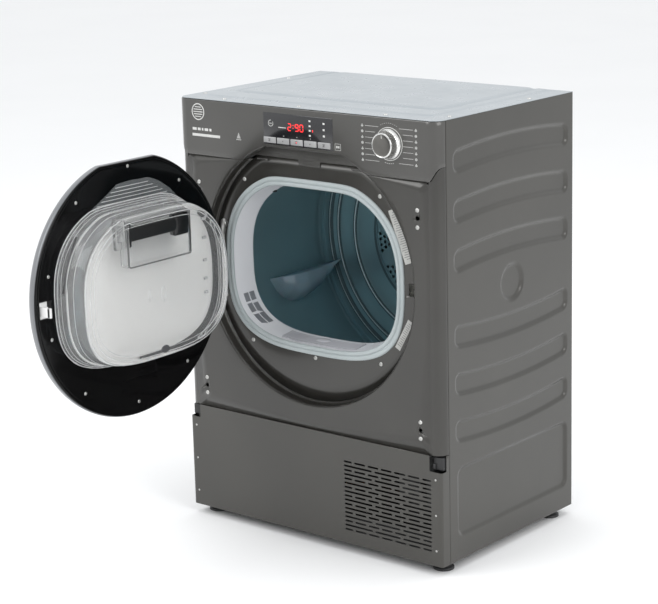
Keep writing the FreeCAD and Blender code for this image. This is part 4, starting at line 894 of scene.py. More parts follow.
door_holes, latch_hole = Skin(), Skin()
for side in (-1, 1):
    for z in (264, 643):
        door_holes.add(rounded_block((side * 254 - 4, side * 254 + 4), (-215, -180), (z - 4, z + 4), 3.6, 4))
latch_hole.add(rounded_block((218.4, 229.2), (-215, -165), (497, 519), 1.6))
flat_part = thicken(mesh_object("front_flat", front, [front_paint_painted_shade], crease=32, outward=(0, -1, 0)), 1.2)
carve(flat_part, mesh_object("door_hole_tools", door_holes, []))
floor_part = thicken(mesh_object("recess_floor", recess_floor, [front_paint_painted_shade], crease=32,
                                 outward=(0, -1, 0)), 1.2)
carve(floor_part, mesh_object("latch_hole_tool", latch_hole, []))
corner_part = mesh_object("front_corners", corners, [front_paint_painted_shade], crease=32, outward=(0, -1, 0))
settle(joined("front_wall", flat_part, floor_part, corner_part), "cabinet", ["front_panel"])


# ---- Plinth: a folded sheet across the foot of the front with a notch in each top corner. Its air
# grille is seventeen rows of short round-ended slots, punched in turn long and short.
def make_slot_tree():
    """Punches a row of slots, repeated upwards, through the sheet it is given."""
    tree = bpy.data.node_groups.new("punched_slots", "GeometryNodeTree")
    socket_list(tree, "INPUT", (("Geometry", "Geometry", None), ("Row", "Object", None), ("Rows", "Int", 9),
                                ("Rise", "Float", 0.0162), ("Slot Height", "Float", 0.0035),
                                ("Finish", "Material", None)))
    socket_list(tree, "OUTPUT", (("Geometry", "Geometry", None),))
    given = node(tree, "NodeGroupInput")
    first = node(tree, "GeometryNodeObjectInfo", {"Object": given.outputs["Row"]})
    pitch = node(tree, "ShaderNodeCombineXYZ", {"Z": given.outputs["Rise"]})
    line = node(tree, "GeometryNodeMeshLine", {"Count": given.outputs["Rows"],
                                               "Offset": pitch.outputs["Vector"]},
                mode="OFFSET")
    rows = node(tree, "GeometryNodeInstanceOnPoints", {"Points": line.outputs["Mesh"],
                                                       "Instance": first.outputs["Geometry"]})
    real = node(tree, "GeometryNodeRealizeInstances", {"Geometry": rows.outputs["Instances"]})
    punch = node(tree, "GeometryNodeMeshBoolean", {"Mesh 1": given.outputs["Geometry"]},
                 operation="DIFFERENCE")
    tree.links.new(real.outputs["Geometry"], punch.inputs["Mesh 2"])
    done = node(tree, "GeometryNodeSetMaterial", {"Geometry": punch.outputs["Mesh"],
                                                  "Material": given.outputs["Finish"]})
    node(tree, "NodeGroupOutput", {"Geometry": done.outputs["Geometry"]})
    return tree


plinth_skin = Skin()
PLINTH_BEND = [(0, -208), (180, -208), (291, -208), (295, -207.95), (297.4, -207.4), (299.2, -205.8),
               (299.9, -203.4), (299.9, -186)]
PLINTH_INSIDE = [(298.7, -186), (298.7, -203.2), (298, -205), (296.6, -206.2), (294.6, -206.75),
                 (291, -206.8), (180, -206.8), (0, -206.8)]
half_loop = PLINTH_BEND + PLINTH_INSIDE
loop = half_loop + [(-x, y) for x, y in reversed(half_loop[1:-1])]
rows = []
for z, pull in ((18.1, 0.4), (18.4, 0.1), (18.9, 0), (23, 0), (216, 0), (221, 0), (221.4, 0.1), (221.7, 0.4)):
    rows.append([(x * (1 - 0.001 * pull * (y < -207.5)), y + pull * (y < -207.5), z) for x, y in loop])
plinth_skin.strip(rows, closed=True)
for edge in (rows[0], rows[-1]):
    half = len(PLINTH_BEND)
    outer_half, inner_half = edge[:half], list(reversed(edge[half:2 * half]))
    plinth_skin.strip([outer_half, inner_half])
    mirror_outer = [(-x, y, z) for x, y, z in outer_half]
    plinth_skin.strip([mirror_outer, [(-x, y, z) for x, y, z in inner_half]])
plinth = mesh_object("plinth", plinth_skin, [graphite], crease=32, weld=0.02)
notch = Skin()
notch.add(rounded_block((-310, -275), (-220, -194), (196, 240), 2.2))
notch.add(rounded_block((273, 310), (-220, -194), (193, 240), 2.2))
carve(plinth, mesh_object("notch_tool", notch, []))
SLOT_ROWS = ((0, 9, ((79, 97), (103, 128), (134, 158), (164, 188), (194, 219), (225, 250), (257, 276))),
             (1, 8, ((79, 143), (149.5, 206), (212.5, 276))))
slot_tree = make_slot_tree()
for start, count, slots in SLOT_ROWS:
    row = Skin()
    for left, right in slots:
        middle = 45.5 + 8.1 * start
        row.add(rounded_block((left, right), (-214, -203), (middle - 1.75, middle + 1.75), 1.6, 3))
    row_tool = mesh_object("slot_row", row, [])
    step = plinth.modifiers.new("punched_slots", "NODES")
    step.node_group = slot_tree
    sockets = {part.name: part.identifier for part in slot_tree.interface.items_tree
               if part.item_type == "SOCKET" and part.in_out == "INPUT"}
    step[sockets["Row"]] = row_tool
    step[sockets["Rows"]] = count
    step[sockets["Finish"]] = graphite
    bake_down(plinth)
    bpy.data.objects.remove(row_tool)
settle(even_shading(plinth), "cabinet", ["plinth_panel"])
catches = Skin()
for side, low in ((-1, 198), (1, 195)):
    catches.add(rounded_block((side * 287 - 11, side * 287 + 11), (-201, -189), (low, 219), 2.5))
    catches.add(rounded_block((side * 280 - 3, side * 280 + 3), (-204, -196), (low + 2, low + 12), 1.4))
catch_blocks = mesh_object("plinth_catches", catches, [black_nylon])
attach(catch_blocks, "cabinet")

# ---- Lid: thin steel sheet, coated pale grey, with a folded rim and two pressed steps that keep it
# flat. Its screws sit round the rim.
lid_paint = finish("lid_coating", (0.35, 0.38, 0.4), shade=(0.315, 0.345, 0.365), gloss=0.3, spread=0.2,
                   cloud=5, grain=1500, relief=0.00002, Metallic=0.2)


def lid_height(x, y):
    """Height of the pressed lid over its rim."""
    low_step = band(math.hypot(max(0.0, abs(x + 10) - 250), max(0.0, abs(y - 19) - 169)) - 15, 10)
    high_step = band(math.hypot(max(0.0, abs(x + 10) - 212), max(0.0, abs(y - 49.5) - 131)) - 18, 12)
    trench = band(abs(math.hypot(max(0.0, abs(x + 10) - 212), max(0.0, abs(y - 49.5) - 131)) - 27) - 4, 6)
    return 812.9 + 1.7 * low_step + 1.4 * high_step - 1.6 * trench


lid = Skin()
lid_y = [-206.8, -206.4, -205.6, -204, -202, -199, -196, -192, -187.5, -184] + span(-180, 206.8, 130)
rows = []
for y in lid_y:
    reach = 299.8 if y > -186 else 278.8 + math.sqrt(max(0.0, 21 ** 2 - (-186 - y) ** 2))
    rows.append([(x, y, lid_height(x, y)) for x in span(-reach, reach, 200)])
lid.strip(rows)
rim = rows[0] + [row[-1] for row in rows[1:]] + list(reversed(rows[-1][:-1]))
rim += [row[0] for row in rows[-2:0:-1]]
lid.strip([rim, [(x * 1.0006, y * 1.0008, z - 0.4) for x, y, z in rim],
           [(x * 1.0006, y * 1.0008, 812.1) for x, y, z in rim],
           [(x * 0.985, y * 0.98, 812.05) for x, y, z in rim]], closed=True)
LID_SCREWS = ((-200, -188), (-18, -191), (175, -188), (283, -150), (283, 90), (-283, -150), (-283, 90),
              (-10, 203))
settle(mesh_object("lid", lid, [lid_paint], crease=45, outward=(0, 0, 1)), "cabinet", ["top_panel"])

# ---- Control fascia: one graphite moulding across the top, with rounded corners, a scoop over the
# door whose set-back web carries a snap tab, and ends that sweep up to the side seams.
fascia_paint = make_steel_paint("fascia_moulding", (0.074, 0.072, 0.067), (0.062, 0.06, 0.056), 0.3)


def scoop_edge(x):
    """Height of the fascia's lower edge over the front wall and the door."""
    return min(737.5, 511 + math.sqrt(243 ** 2 - x * x)) if abs(x) < 142.3 else 708.0


def scoop_path():
    """The lower edge as evenly walked points with their outward directions."""
    xs = [-277.0 + 2.2 * k for k in range(61)] + span(-142.3, 142.3, 150)
    xs += [145.0 + 2.2 * k for k in range(61)]
    raw = [(x, scoop_edge(x)) for x in xs]
    eased = []
    for k in range(len(raw)):
        near = raw[max(0, k - 3):k + 4]
        eased.append((raw[k][0], sum(z for x, z in near) / len(near)))
    path = []
    for k, (x, z) in enumerate(eased):
        before, after = eased[max(0, k - 1)], eased[min(len(eased) - 1, k + 1)]
        run = math.hypot(after[0] - before[0], after[1] - before[1])
        path.append((x, z, (after[1] - before[1]) / run, -(after[0] - before[0]) / run))
    return path


edge_path = scoop_path()
fascia = Skin()
rows = []
for share in (1, 0.995, 0.8, 0.6, 0.4, 0.2, 0.08, 0):
    rows.append([(x, -210, z + 3.2 + (810.4 - z - 3.2) * share) for x, z, out_x, out_z in edge_path])
for inside, y in ((1.8, -209.75), (0.8, -209.1), (0.2, -208), (0, -206.4), (0, -196), (0.4, -189.5)):
    rows.append([(x - inside * out_x, y, z - inside * out_z) for x, z, out_x, out_z in edge_path])
fascia.strip(rows)
FASCIA_WRAP = [(277, -210), (283, -209.3), (288, -207.4), (292.6, -204.2), (296.2, -200), (298.6, -194.8),
               (299.7, -189), (299.6, -186)]
for side in (-1, 1):
    rows = []
    for share in (0, 0.1, 0.3, 0.5, 0.7, 0.9, 1):
        row = []
        for x, y in FASCIA_WRAP:
            low = 708.4 + 25 * smooth(281, 299.5, x)
            row.append((side * x, y, low + (810.4 - low) * share))
        rows.append(row)
    fascia.strip(rows)
    fascia.strip([rows[0], [(x * 0.999, y + 0.3, z - 0.5) for x, y, z in rows[0]],
                  [(x * 0.992, y + 4, z - 0.4) for x, y, z in rows[0]]])
    fascia.strip([rows[-1], [(x * 0.998, y + 0.5, 811.3) for x, y, z in rows[-1]],
                  [(x * 0.97, y + 8, 811.6) for x, y, z in rows[-1]]])
top_edge = [(x, -210, 810.4) for x, z, out_x, out_z in edge_path]
fascia.strip([top_edge, [(x, -209.4, 811.3) for x, y, z in top_edge],
              [(x, -200, 811.6) for x, y, z in top_edge]])
fascia_shell = mesh_object("fascia_shell", fascia, [fascia_paint], crease=40, outward=(0, -1, 0))
web = Skin()
web_path = [(x, z - 0.3) for x, z, out_x, out_z in edge_path if abs(x) < 139]
low_edge = []
for x, z in web_path:
    tab = 10 * (smooth(-26, -24, x) - smooth(24, 26, x))
    low_edge.append((x, min(z - 0.5, 716 - tab)))
web.strip([[(x, -189, z + 0.6) for x, z in web_path], [(x, -189, z + 0.8) for x, z in low_edge],
           [(x, -188.6, z + 0.2) for x, z in low_edge], [(x, -187.2, z) for x, z in low_edge]])
for side in (-1, 1):
    web.add(rounded_block((side * 110 - 13, side * 110 + 13), (-190.2, -188), (708.6, 712.2), 0.7))
fascia_web = mesh_object("fascia_web", web, [fascia_paint], crease=40, outward=(0, -1, 0))
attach(fascia_web, "cabinet")
settle(fascia_shell, "cabinet", ["control_fascia"])

# ---- Display: smoked gloss window over a lit three-digit readout and rows of small symbols, with
# five satin keys below it. Every printed sign is a plain shape without any meaning as a mark.
smoked = finish("smoked_window", (0.012, 0.012, 0.014), gloss=0.16, spread=0.08, cloud=20, grain=500,
                relief=0.00001, Coat_Weight=0.6, Coat_Roughness=0.06)
silver_key = finish("silver_key", (0.4, 0.4, 0.4), shade=(0.34, 0.34, 0.34), gloss=0.36, cloud=30,
                    Metallic=0.35)
white_print = finish("white_print", (0.62, 0.62, 0.6), gloss=0.6, cloud=60)
dark_print = finish("dark_print", (0.06, 0.06, 0.06), gloss=0.6, cloud=60)
red_light = finish("red_light", (0.6, 0.01, 0.01), gloss=0.4, cloud=200, Emission_Color=(1, 0.03, 0.03, 1),
                   Emission_Strength=1.6)
window = Skin()
window.add(rounded_block((-87, 74), (-210.9, -208.2), (743.6, 801), 1.2, 3))
settle(mesh_object("display_glass", window, [smoked]), "cabinet", ["display_window"])
for k in range(5):
    key = Skin()
    middle = -71.5 + 31.6 * k
    key.add(rounded_block((middle - 14.2, middle + 14.2), (-212.7, -206.2), (746.3, 757.1), 1.1, 4))
    key.add(rounded_block((middle - 4, middle + 4), (-206.4, -199.5), (748.8, 754.6), 0.4))
    for x, z, wide in ((-3, 753.4, 6), (-2, 751.3, 4), (-3, 749.4, 5)):
        if (k + int(z)) % 2:
            key.add(rounded_block((middle + x, middle + x + wide), (-212.78, -212.6), (z, z + 0.9), 0.05), 1)
    key.add(rounded_block((middle - 0.8, middle + 0.8), (-212.78, -212.6), (750.6, 752.6), 0.05),
            2 if k == 2 else 1)
    settle(mesh_object(f"key_{k + 1}", key, [silver_key, dark_print, red_light]), f"button_{k + 1}",
           [f"option_button_{k + 1}"])

SEGMENTS = {"a": (0, 2, 1), "b": (1, 1, 0), "c": (1, 0, 0), "d": (0, 0, 1), "e": (0, 0, 0), "f": (0, 1, 0),
            "g": (0, 1, 1)}


def digit(skin, x, z, lit, number):
    """Seven-bar figure 8 mm wide and 13 mm tall, with only some bars lit."""
    for letter in lit:
        column, row, level = SEGMENTS[letter]
        if level:
            skin.add(rounded_block((x + 1, x + 7), (-211, -210.85), (z + 6 * row - 0.7, z + 6 * row + 0.7),
                                   0.05),
                     number)
        else:
            low = z + 6 * row
            skin.add(rounded_block((x + 7 * column - 0.2, x + 7 * column + 1.2), (-211, -210.85),
                                   (low + 0.7, low + 5.3), 0.05), number)


GLASS_Y, FASCIA_Y = -210.92, -210.02


def mark(skin, x, y, z, number=0):
    """Flat printed bar or square lying on a surface: x and z are (low, high)."""
    skin.add(rounded_block(x, (y - 0.08, y + 0.1), z, 0.04, 1), number)


signs = Skin()
digit(signs, -29, 772, "abged", 1)
digit(signs, -12, 772, "abcdgf", 1)
digit(signs, -1, 772, "abcdef", 1)
for z in (776, 781):
    mark(signs, (-17, -15.4), GLASS_Y, (z, z + 1.6), 1)
mark(signs, (-51, -33), GLASS_Y, (775.2, 776.6))
for z in (791, 782, 774, 765):
    mark(signs, (20, 24.4), GLASS_Y, (z, z + 3))
mark(signs, (28, 29.4), GLASS_Y, (773, 777), 1)
for z in (788.5, 777.5, 766.5):
    mark(signs, (52, 56.4), GLASS_Y, (z, z + 3.4))
for k in range(16):
    turn = 2 * math.pi * k / 16
    if k not in (2, 3):
        mark(signs, (-69 + 5.4 * math.cos(turn) - 0.7, -69 + 5.4 * math.cos(turn) + 0.7), GLASS_Y,
             (782 + 5.4 * math.sin(turn) - 0.7, 782 + 5.4 * math.sin(turn) + 0.7))
mark(signs, (-72, -66), GLASS_Y, (781.4, 782.4))
for x in (-40, -9, 22):
    mark(signs, (x, x + 2), GLASS_Y, (760.4, 761.4))
display_signs = mesh_object("display_signs", signs, [white_print, red_light])
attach(display_signs, "cabinet")

def about_pin(a, r, z):
    """Places a row turned about the door's pin."""
    return PIN_X + r * math.cos(a), PIN_Y + r * math.sin(a), z


# ---- Programme knob: turned metal-finished moulding with a satin face, a bright ring round it and a
# fluted, flared skirt. Printed leader lines round it run to columns of plain signs.
satin_face = finish("satin_face", (0.16, 0.155, 0.145), gloss=0.3, spread=0.1, cloud=40, grain=2400,
                    Metallic=0.85)
bright_ring = finish("bright_ring", (0.8, 0.8, 0.78), gloss=0.14, spread=0.1, cloud=30, Metallic=1.0)
KNOB_X, KNOB_Z = 198, 767
knob = Skin()
KNOB_FACE = [(0.01, -230.6), (8, -230.7), (15, -231), (18.4, -231.3), (19.2, -231.7)]
KNOB_RING = [(19.2, -231.7), (19.8, -232), (20.8, -231.9), (21.6, -231.3), (22, -230.4)]
for profile, number in ((KNOB_FACE, 0), (KNOB_RING, 1)):
    knob.strip(turned(profile, 120, facing_front(KNOB_X, KNOB_Z)), closed=True, finish_number=number)


def flute(angle, radius, along):
    """Fine grip flutes that fade out towards the face and the flared foot."""
    depth = 0.55 * smooth(-230, -227, along) * (1 - smooth(-218, -214, along))
    r = radius - depth * (0.5 + 0.5 * math.cos(40 * angle))
    return KNOB_X + r * math.cos(angle), along, KNOB_Z + r * math.sin(angle)


KNOB_SKIRT = [(22, -230.4), (22, -229.6), (22, -228), (22, -226), (22, -224), (22.2, -221), (22.6, -218),
              (23.4, -215.6), (24.8, -213.6), (26.2, -212.4), (26.5, -211.4), (26.2, -210.7), (3, -210.6)]
knob.strip(turned(KNOB_SKIRT, 480, flute), closed=True, finish_number=1)
knob.strip(turned([(3, -210.6), (3, -196), (0.01, -195.8)], 24, facing_front(KNOB_X, KNOB_Z)), closed=True,
           finish_number=1)
knob.add(rounded_block((197.3, 198.7), (-231.3, -230.6), (779, 786), 0.3), 2)
settle(mesh_object("selector_knob", knob, [satin_face, bright_ring, white_print], crease=30), "knob",
       ["programme_knob"])

prints = Skin()
prints.strip(turned([(27.7, -210.02), (27.9, -210.3), (28.9, -210.3), (29.1, -210.02)], 96,
                    facing_front(KNOB_X, KNOB_Z)), closed=True)
for side, column in ((-1, 140), (1, 256)):
    for k in range(7):
        z = 795 - 10 * k
        reach = 198 + side * (30 if abs(z - 767) < 26 else 31 - 0.3 * abs(z - 767))
        ends = sorted((column - side * 6, reach))
        if ends[1] > ends[0]:
            mark(prints, ends, FASCIA_Y, (z - 0.3, z + 0.3))
        mark(prints, (column - 2.4, column + 2.4), FASCIA_Y, (z - 1.8, z + 1.6 * (1 if k % 2 else 0.2)))
        mark(prints, (column - 0.8, column + 0.8), FASCIA_Y, (z - 2.6, z + 2.6))
for turn in range(-4, 5):
    angle = math.radians(90 + 7 * turn)
    mark(prints, (198 + 36 * math.cos(angle) - 0.5, 198 + 36 * math.cos(angle) + 0.5), FASCIA_Y,
         (767 + 36 * math.sin(angle) - 0.5, 767 + 36 * math.sin(angle) + 0.5))
    if abs(turn) < 3:
        mark(prints, (198 + 34 * math.cos(-angle) - 1, 198 + 34 * math.cos(-angle) + 1), FASCIA_Y,
             (767 + 34 * math.sin(-angle) - 0.5, 767 + 34 * math.sin(-angle) + 0.5))
for x in (78, 90.6):
    mark(prints, (x, x + 0.6), FASCIA_Y, (745.6, 757.4))
for z in (745.6, 756.8):
    mark(prints, (78, 91.2), FASCIA_Y, (z, z + 0.6))
mark(prints, (81, 84), FASCIA_Y, (749.5, 753.5))
mark(prints, (85.4, 88.2), FASCIA_Y, (749.5, 753.5))
for k in range(7):
    mark(prints, (-148 - 4.4 + 0.62 * k, -148 + 4.4 - 0.62 * k), FASCIA_Y,
         (747.6 + 1.5 * k, 748.5 + 1.5 * k))
mark(prints, (-154, -142), FASCIA_Y, (744.6, 745.6))
for x, wide in ((-262, 10), (-249, 7), (-239, 4), (-232, 9), (-220, 5)):
    mark(prints, (x, x + wide), FASCIA_Y, (754.6, 759.4))
mark(prints, (-263, -194), FASCIA_Y, (743.5, 748.5))
prints.strip(turned([(13.6, -210.02), (13.8, -210.16), (15.4, -210.16), (15.6, -210.02)], 72,
                    facing_front(-247, 789)), closed=True)
for k in range(5):
    reach = math.sqrt(11.5 ** 2 - (4.4 * (k - 2)) ** 2)
    mark(prints, (-247 - reach, -247 + reach), FASCIA_Y, (788.2 + 4.4 * (k - 2), 789.8 + 4.4 * (k - 2)))
fascia_prints = mesh_object("fascia_prints", prints, [white_print])
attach(fascia_prints, "cabinet")


# ---- Hinge: bright zinc plate on the recess floor with a round lobe at each end and two arms whose
# eyes hold the door's pin; the door's leaf and knuckle turn between them.
def plate(corner_points, thickness, bevel):
    """Plate on the given points, thickened along a vector, with softened edges, as a bmesh."""
    made = bmesh.new()
    face = made.faces.new([made.verts.new(point) for point in corner_points])
    grown = bmesh.ops.extrude_face_region(made, geom=[face])
    bmesh.ops.translate(made, verts=[part for part in grown["geom"] if isinstance(part, bmesh.types.BMVert)],
                        vec=thickness)
    bmesh.ops.recalc_face_normals(made, faces=made.faces)
    bmesh.ops.bevel(made, geom=list(made.edges), offset=bevel, segments=2, profile=0.5, affect="EDGES")
    return made


def flat_plate(outline, low, high, bevel=0.4):
    """Plate in the front's plane, between two depths, from (x, z) corners."""
    return plate([(x, high, z) for x, z in outline], (0, low - high, 0), bevel)


def lobe(x, z, radius, start, stop, count=14):
    return [(x + radius * math.cos(math.radians(a)), z + radius * math.sin(math.radians(a)))
            for a in span(start, stop, count)]


PIN_X, PIN_Y = -226, -207
bracket = Skin()
outline = lobe(-212.5, 580, 8.6, 200, -70) + [(-212, 560), (-211.6, 540), (-212.4, 490), (-212.6, 466)]
outline += lobe(-214, 447, 8, 60, -200) + [(-222.6, 462), (-223.4, 500), (-223, 560)]
bracket.add(flat_plate(outline, -188.6, -187.1))
for z in (470, 549):
    bracket.add(rounded_block((-226.4, -214.6), (-207, -187.4), (z, z + 8), 0.9))
    eye = [(3.1, z), (6, z), (6.4, z + 0.5), (6.4, z + 7.5), (6, z + 8), (3.1, z + 8), (3.1, z)]
    bracket.strip(turned(eye, 40, about_pin), closed=True)
settle(mesh_object("hinge_plate", bracket, [zinc_bright]), "cabinet", ["hinge_bracket"])
leaf = Skin()
leaf.strip(turned([(0.01, 463.6), (2.6, 463.7), (3, 464.2), (3, 480), (5.6, 480.1), (6, 480.6), (6, 546.4),
                   (5.6, 546.9), (3, 547), (3, 562.6), (2.6, 563), (0.01, 563.1)], 40, about_pin),
           closed=True)
leaf.add(rounded_block((-232, -223), (-241, -208), (480.4, 546.6), 1.2))
for z in (492, 535):
    leaf.strip(turned([(0.01, -221.9), (2.6, -222), (3.4, -222.4), (3.6, -223.2)], 24,
                      lambda a, r, x: (x, -229 + r * math.cos(a), z + r * math.sin(a))), closed=True)
settle(mesh_object("hinge_leaf", leaf, [zinc_bright]), "door", ["door_hinge"])

# ---- Door, standing open a quarter turn: silver-grey moulded shell, a gloss black ring screwed into
# it that frames the tank, a white liner behind the tank and the white latch hook on the free edge.
DOOR_Y, DOOR_Z = -433.0, 508.0
door_silver = finish("door_silver", (0.2, 0.205, 0.215), shade=(0.17, 0.175, 0.185), gloss=0.3, spread=0.1,
                     cloud=5, grain=2200, relief=0.00001, Metallic=0.35, Coat_Weight=0.3, Coat_Roughness=0.2)
ring_black = finish("ring_black", (0.0028, 0.0028, 0.003), gloss=0.1, spread=0.1, cloud=9, grain=900,
                    relief=0.000006, Specular_IOR_Level=0.2)
liner_white = finish("liner_white", (0.86, 0.85, 0.83), shade=(0.83, 0.82, 0.8), gloss=0.4, cloud=4,
                     grain=1200, relief=0.00002)
hook_white = finish("hook_white", (0.72, 0.72, 0.71), gloss=0.34, cloud=30)


def door_loop(inset, x, count=240):
    """The door's outline at an inset, on an upright plane that faces along +X."""
    return [(x, DOOR_Y + across, DOOR_Z + up) for across, up in dee(237 - inset, 227 - inset, count)]


shell = Skin()
SHELL = [(2.6, -213.1), (1.2, -213), (0.4, -213.6), (0.05, -215), (0.2, -218.5), (1, -222.6), (2.8, -226.6),
         (5.6, -230), (9.6, -232.6), (15, -234.1), (24, -234.8), (60, -234.95), (120, -235), (200, -235)]
shell_rows = [door_loop(inset, x) for inset, x in SHELL]
shell.strip(shell_rows, closed=True)
shell.lid(shell_rows[-1])
inside = [door_loop(inset, x) for inset, x in ((2.6, -213.1), (3.2, -216), (5, -222), (9, -228),
                                               (16, -231.4), (60, -232.4), (200, -232.5))]
shell.strip(inside, closed=True)
shell.lid(inside[-1])
door_shell = mesh_object("door_outer_shell", shell, [door_silver], crease=40)


def hinge_room():
    """Tools that free the door's edge round the hinge."""
    room = Skin()
    room.add(rounded_block((-232.4, -205), (-243, -180), (461, 566), 0.8, 2))
    return mesh_object("hinge_room", room, [])


carve(door_shell, hinge_room())
settle(even_shading(door_shell), "door", ["door_shell"])


def mouth_on_door(inset, x, count=240):
    """The mouth's outline on an upright plane of the open door, at even turns about the door's middle."""
    return [(x, DOOR_Y - across, height) for across, height in mouth_by_angle(inset, DOOR_Z, count)]


def flipped(loop):
    """Same loop walked so that its points line up with door_loop."""
    return sorted(loop, key=lambda point: math.atan2(point[2] - DOOR_Z, point[1] - DOOR_Y) % (2 * math.pi))


ring = Skin()
outer_loops = [door_loop(inset, x) for inset, x in ((2.2, -212.9), (1.7, -212.4), (1.6, -211.4), (2, -210.5),
                                                    (3, -210.05), (6.5, -210), (7.2, -210.3), (8.2, -210.3),
                                                    (9, -210))]
inner_loops = [flipped(mouth_on_door(inset, x)) for inset, x in ((16.6, -210), (17, -210.35), (18.2, -210.35),
                                                                 (18.6, -210.05), (29.4, -210.05),
                                                                 (30, -210.6), (30, -212.8))]
ring.strip(outer_loops + inner_loops + [outer_loops[0]], closed=True)
door_ring = mesh_object("door_ring_moulding", ring, [ring_black], crease=32)
RING_SCREWS = ((0, 217), (128, 172), (-128, 172), (201, 52), (-201, 56), (201, -58), (-201, -55),
               (130, -168), (-130, -168), (0, -214))
pits = Skin()
for across, up in RING_SCREWS:
    pits.strip(turned([(0.01, -216), (4, -216), (4, -208), (0.01, -208)], 28,
                      lambda a, r, x: (x, DOOR_Y + across + r * math.cos(a), DOOR_Z + up + r * math.sin(a))),
               closed=True)
pits.add(rounded_block((-216, -206), (DOOR_Y - 226, DOOR_Y - 206), (492.6, 523.4), 0.6))
pits.add(rounded_block((-210.9, -206), (DOOR_Y - 40, DOOR_Y + 47), (DOOR_Z - 168, DOOR_Z - 152), 0.6))
carve(door_ring, mesh_object("screw_pits", pits, []), hinge_room())
settle(even_shading(door_ring), "door", ["door_ring"])

liner = Skin()
face_rows = [flipped(mouth_on_door(inset, x)) for inset, x in
             ((30.4, -230), (30.4, -211.2), (31, -210.5), (32, -210.3), (36, -210.3), (38, -211.2),
              (44, -211.8), (100, -211.4), (150, -211.2))]
liner.strip(face_rows, closed=True)
liner.lid(face_rows[-1])
settle(mesh_object("door_liner_pan", liner, [liner_white], outward=(1, 0, 0)), "door", ["door_liner"])

hook = Skin()
hook.add(rounded_block((-216.8, -211.4), (DOOR_Y - 225, DOOR_Y - 206.6), (493, 523), 1.4))
hook.add(rounded_block((-212, -185.4), (DOOR_Y - 225.4, DOOR_Y - 221.8), (499.4, 516.6), 1))
hook.add(rounded_block((-192, -185.2), (DOOR_Y - 225.4, DOOR_Y - 220.2), (499.4, 516.6), 1))
hook.add(rounded_block((-211.6, -206.4), (DOOR_Y - 216, DOOR_Y - 209), (502, 514), 1.2))
settle(mesh_object("latch_hook", hook, [hook_white]), "door", ["door_hook"])

# ---- Water tank: clear moulded box that lies in the door on its back, with stepped shoulders, a
# finger pocket behind the black handle bar, a filling chute at the top and small moulded details.
def clear_plastic(name, tint, gloss):
    """Clear styrene: glassy, faintly tinted, with soft flow lines left by moulding."""
    made = finish(name, tint, shade=tuple(part * 0.985 for part in tint), gloss=gloss, spread=0.05, cloud=6,
                  grain=260, relief=0.00002, Transmission_Weight=0.93, IOR=1.32)
    tree = made.node_tree
    skin = next(part for part in tree.nodes if part.type == "GROUP")
    skin.inputs["Grain Size"].default_value = 38.0
    return made


tank_clear = clear_plastic("tank_clear", (0.985, 0.99, 0.99), 0.04)
handle_black = finish("handle_black", (0.008, 0.008, 0.008), gloss=0.3, spread=0.12, cloud=20, grain=1400)


def tank_rows(profile):
    return [flipped(mouth_on_door(inset, x)) for inset, x in profile]


tank = Skin()
OUTSIDE = [(19, -209.6), (18.6, -209.2), (18.6, -206.8), (19, -206.2), (21.4, -205.8), (22.2, -205),
           (22.8, -200), (23.8, -190), (24.2, -186), (25.4, -185), (26, -184), (27, -170), (28, -158),
           (28.8, -153), (30.4, -148.6), (33.4, -145), (38, -142.8), (44, -142.1), (70, -142), (110, -142),
           (150, -142)]
INSIDE = [(150, -144.2), (110, -144.2), (70, -144.2), (45, -144.3), (39.4, -145), (35.6, -146.8),
          (32.8, -150), (31.2, -154), (30.4, -158), (29.4, -170), (28.4, -183), (27.6, -186), (26.4, -188),
          (25.4, -200), (25, -206), (27, -207.4), (60, -207.5), (110, -207.5), (150, -207.5)]
BACK = [(150, -209.6), (110, -209.6), (60, -209.6), (19, -209.6)]
outside_rows = tank_rows(OUTSIDE)
tank.strip(outside_rows, closed=True)
tank.lid(outside_rows[-1])
inside_rows = tank_rows(INSIDE)
tank.strip(inside_rows, closed=True)
tank.lid(inside_rows[0])
tank.lid(inside_rows[-1])
back_rows = tank_rows(BACK)
tank.strip(back_rows, closed=True)
tank.lid(back_rows[0])
tank_shell = mesh_object("water_tank_shell", tank, [tank_clear], crease=40)
pocket = Skin()
pocket.add(rounded_block((-178.2, -120), (-508.2, -351.8), (561.8, 642.2), 5, 4))
pocket_wall = mesh_object("pocket_wall", pocket, [tank_clear])
opening = Skin()
opening.add(rounded_block((-176, -118), (-506, -354), (564, 640), 3.6, 4))
front_trim = Skin()
front_trim.add(rounded_block((-142, -100), (-560, -300), (520, 690), 1))
carve(pocket_wall, mesh_object("pocket_opening", opening, []), mesh_object("front_trim", front_trim, []))
mouth_tool = Skin()
mouth_tool.add(rounded_block((-150, -118), (-508.2, -351.8), (561.8, 642.2), 4.6, 4))
carve(tank_shell, mesh_object("pocket_mouth", mouth_tool, []))
details = Skin()
details.add(rounded_block((-152, -141.6), (DOOR_Y - 106, DOOR_Y - 79.4), (DOOR_Z + 91, DOOR_Z + 141), 3, 3))
details.add(rounded_block((-145, -140.9), (DOOR_Y - 101, DOOR_Y - 84), (DOOR_Z + 104, DOOR_Z + 132), 2, 3))
clear_details = mesh_object("tank_details", details, [tank_clear])
tank_whole = joined("water_tank_body", tank_shell, pocket_wall, clear_details)
tank_whole.data.shade_smooth()
tank_whole.data.set_sharp_from_angle(angle=math.radians(40))
settle(tank_whole, "tank", ["water_tank"])
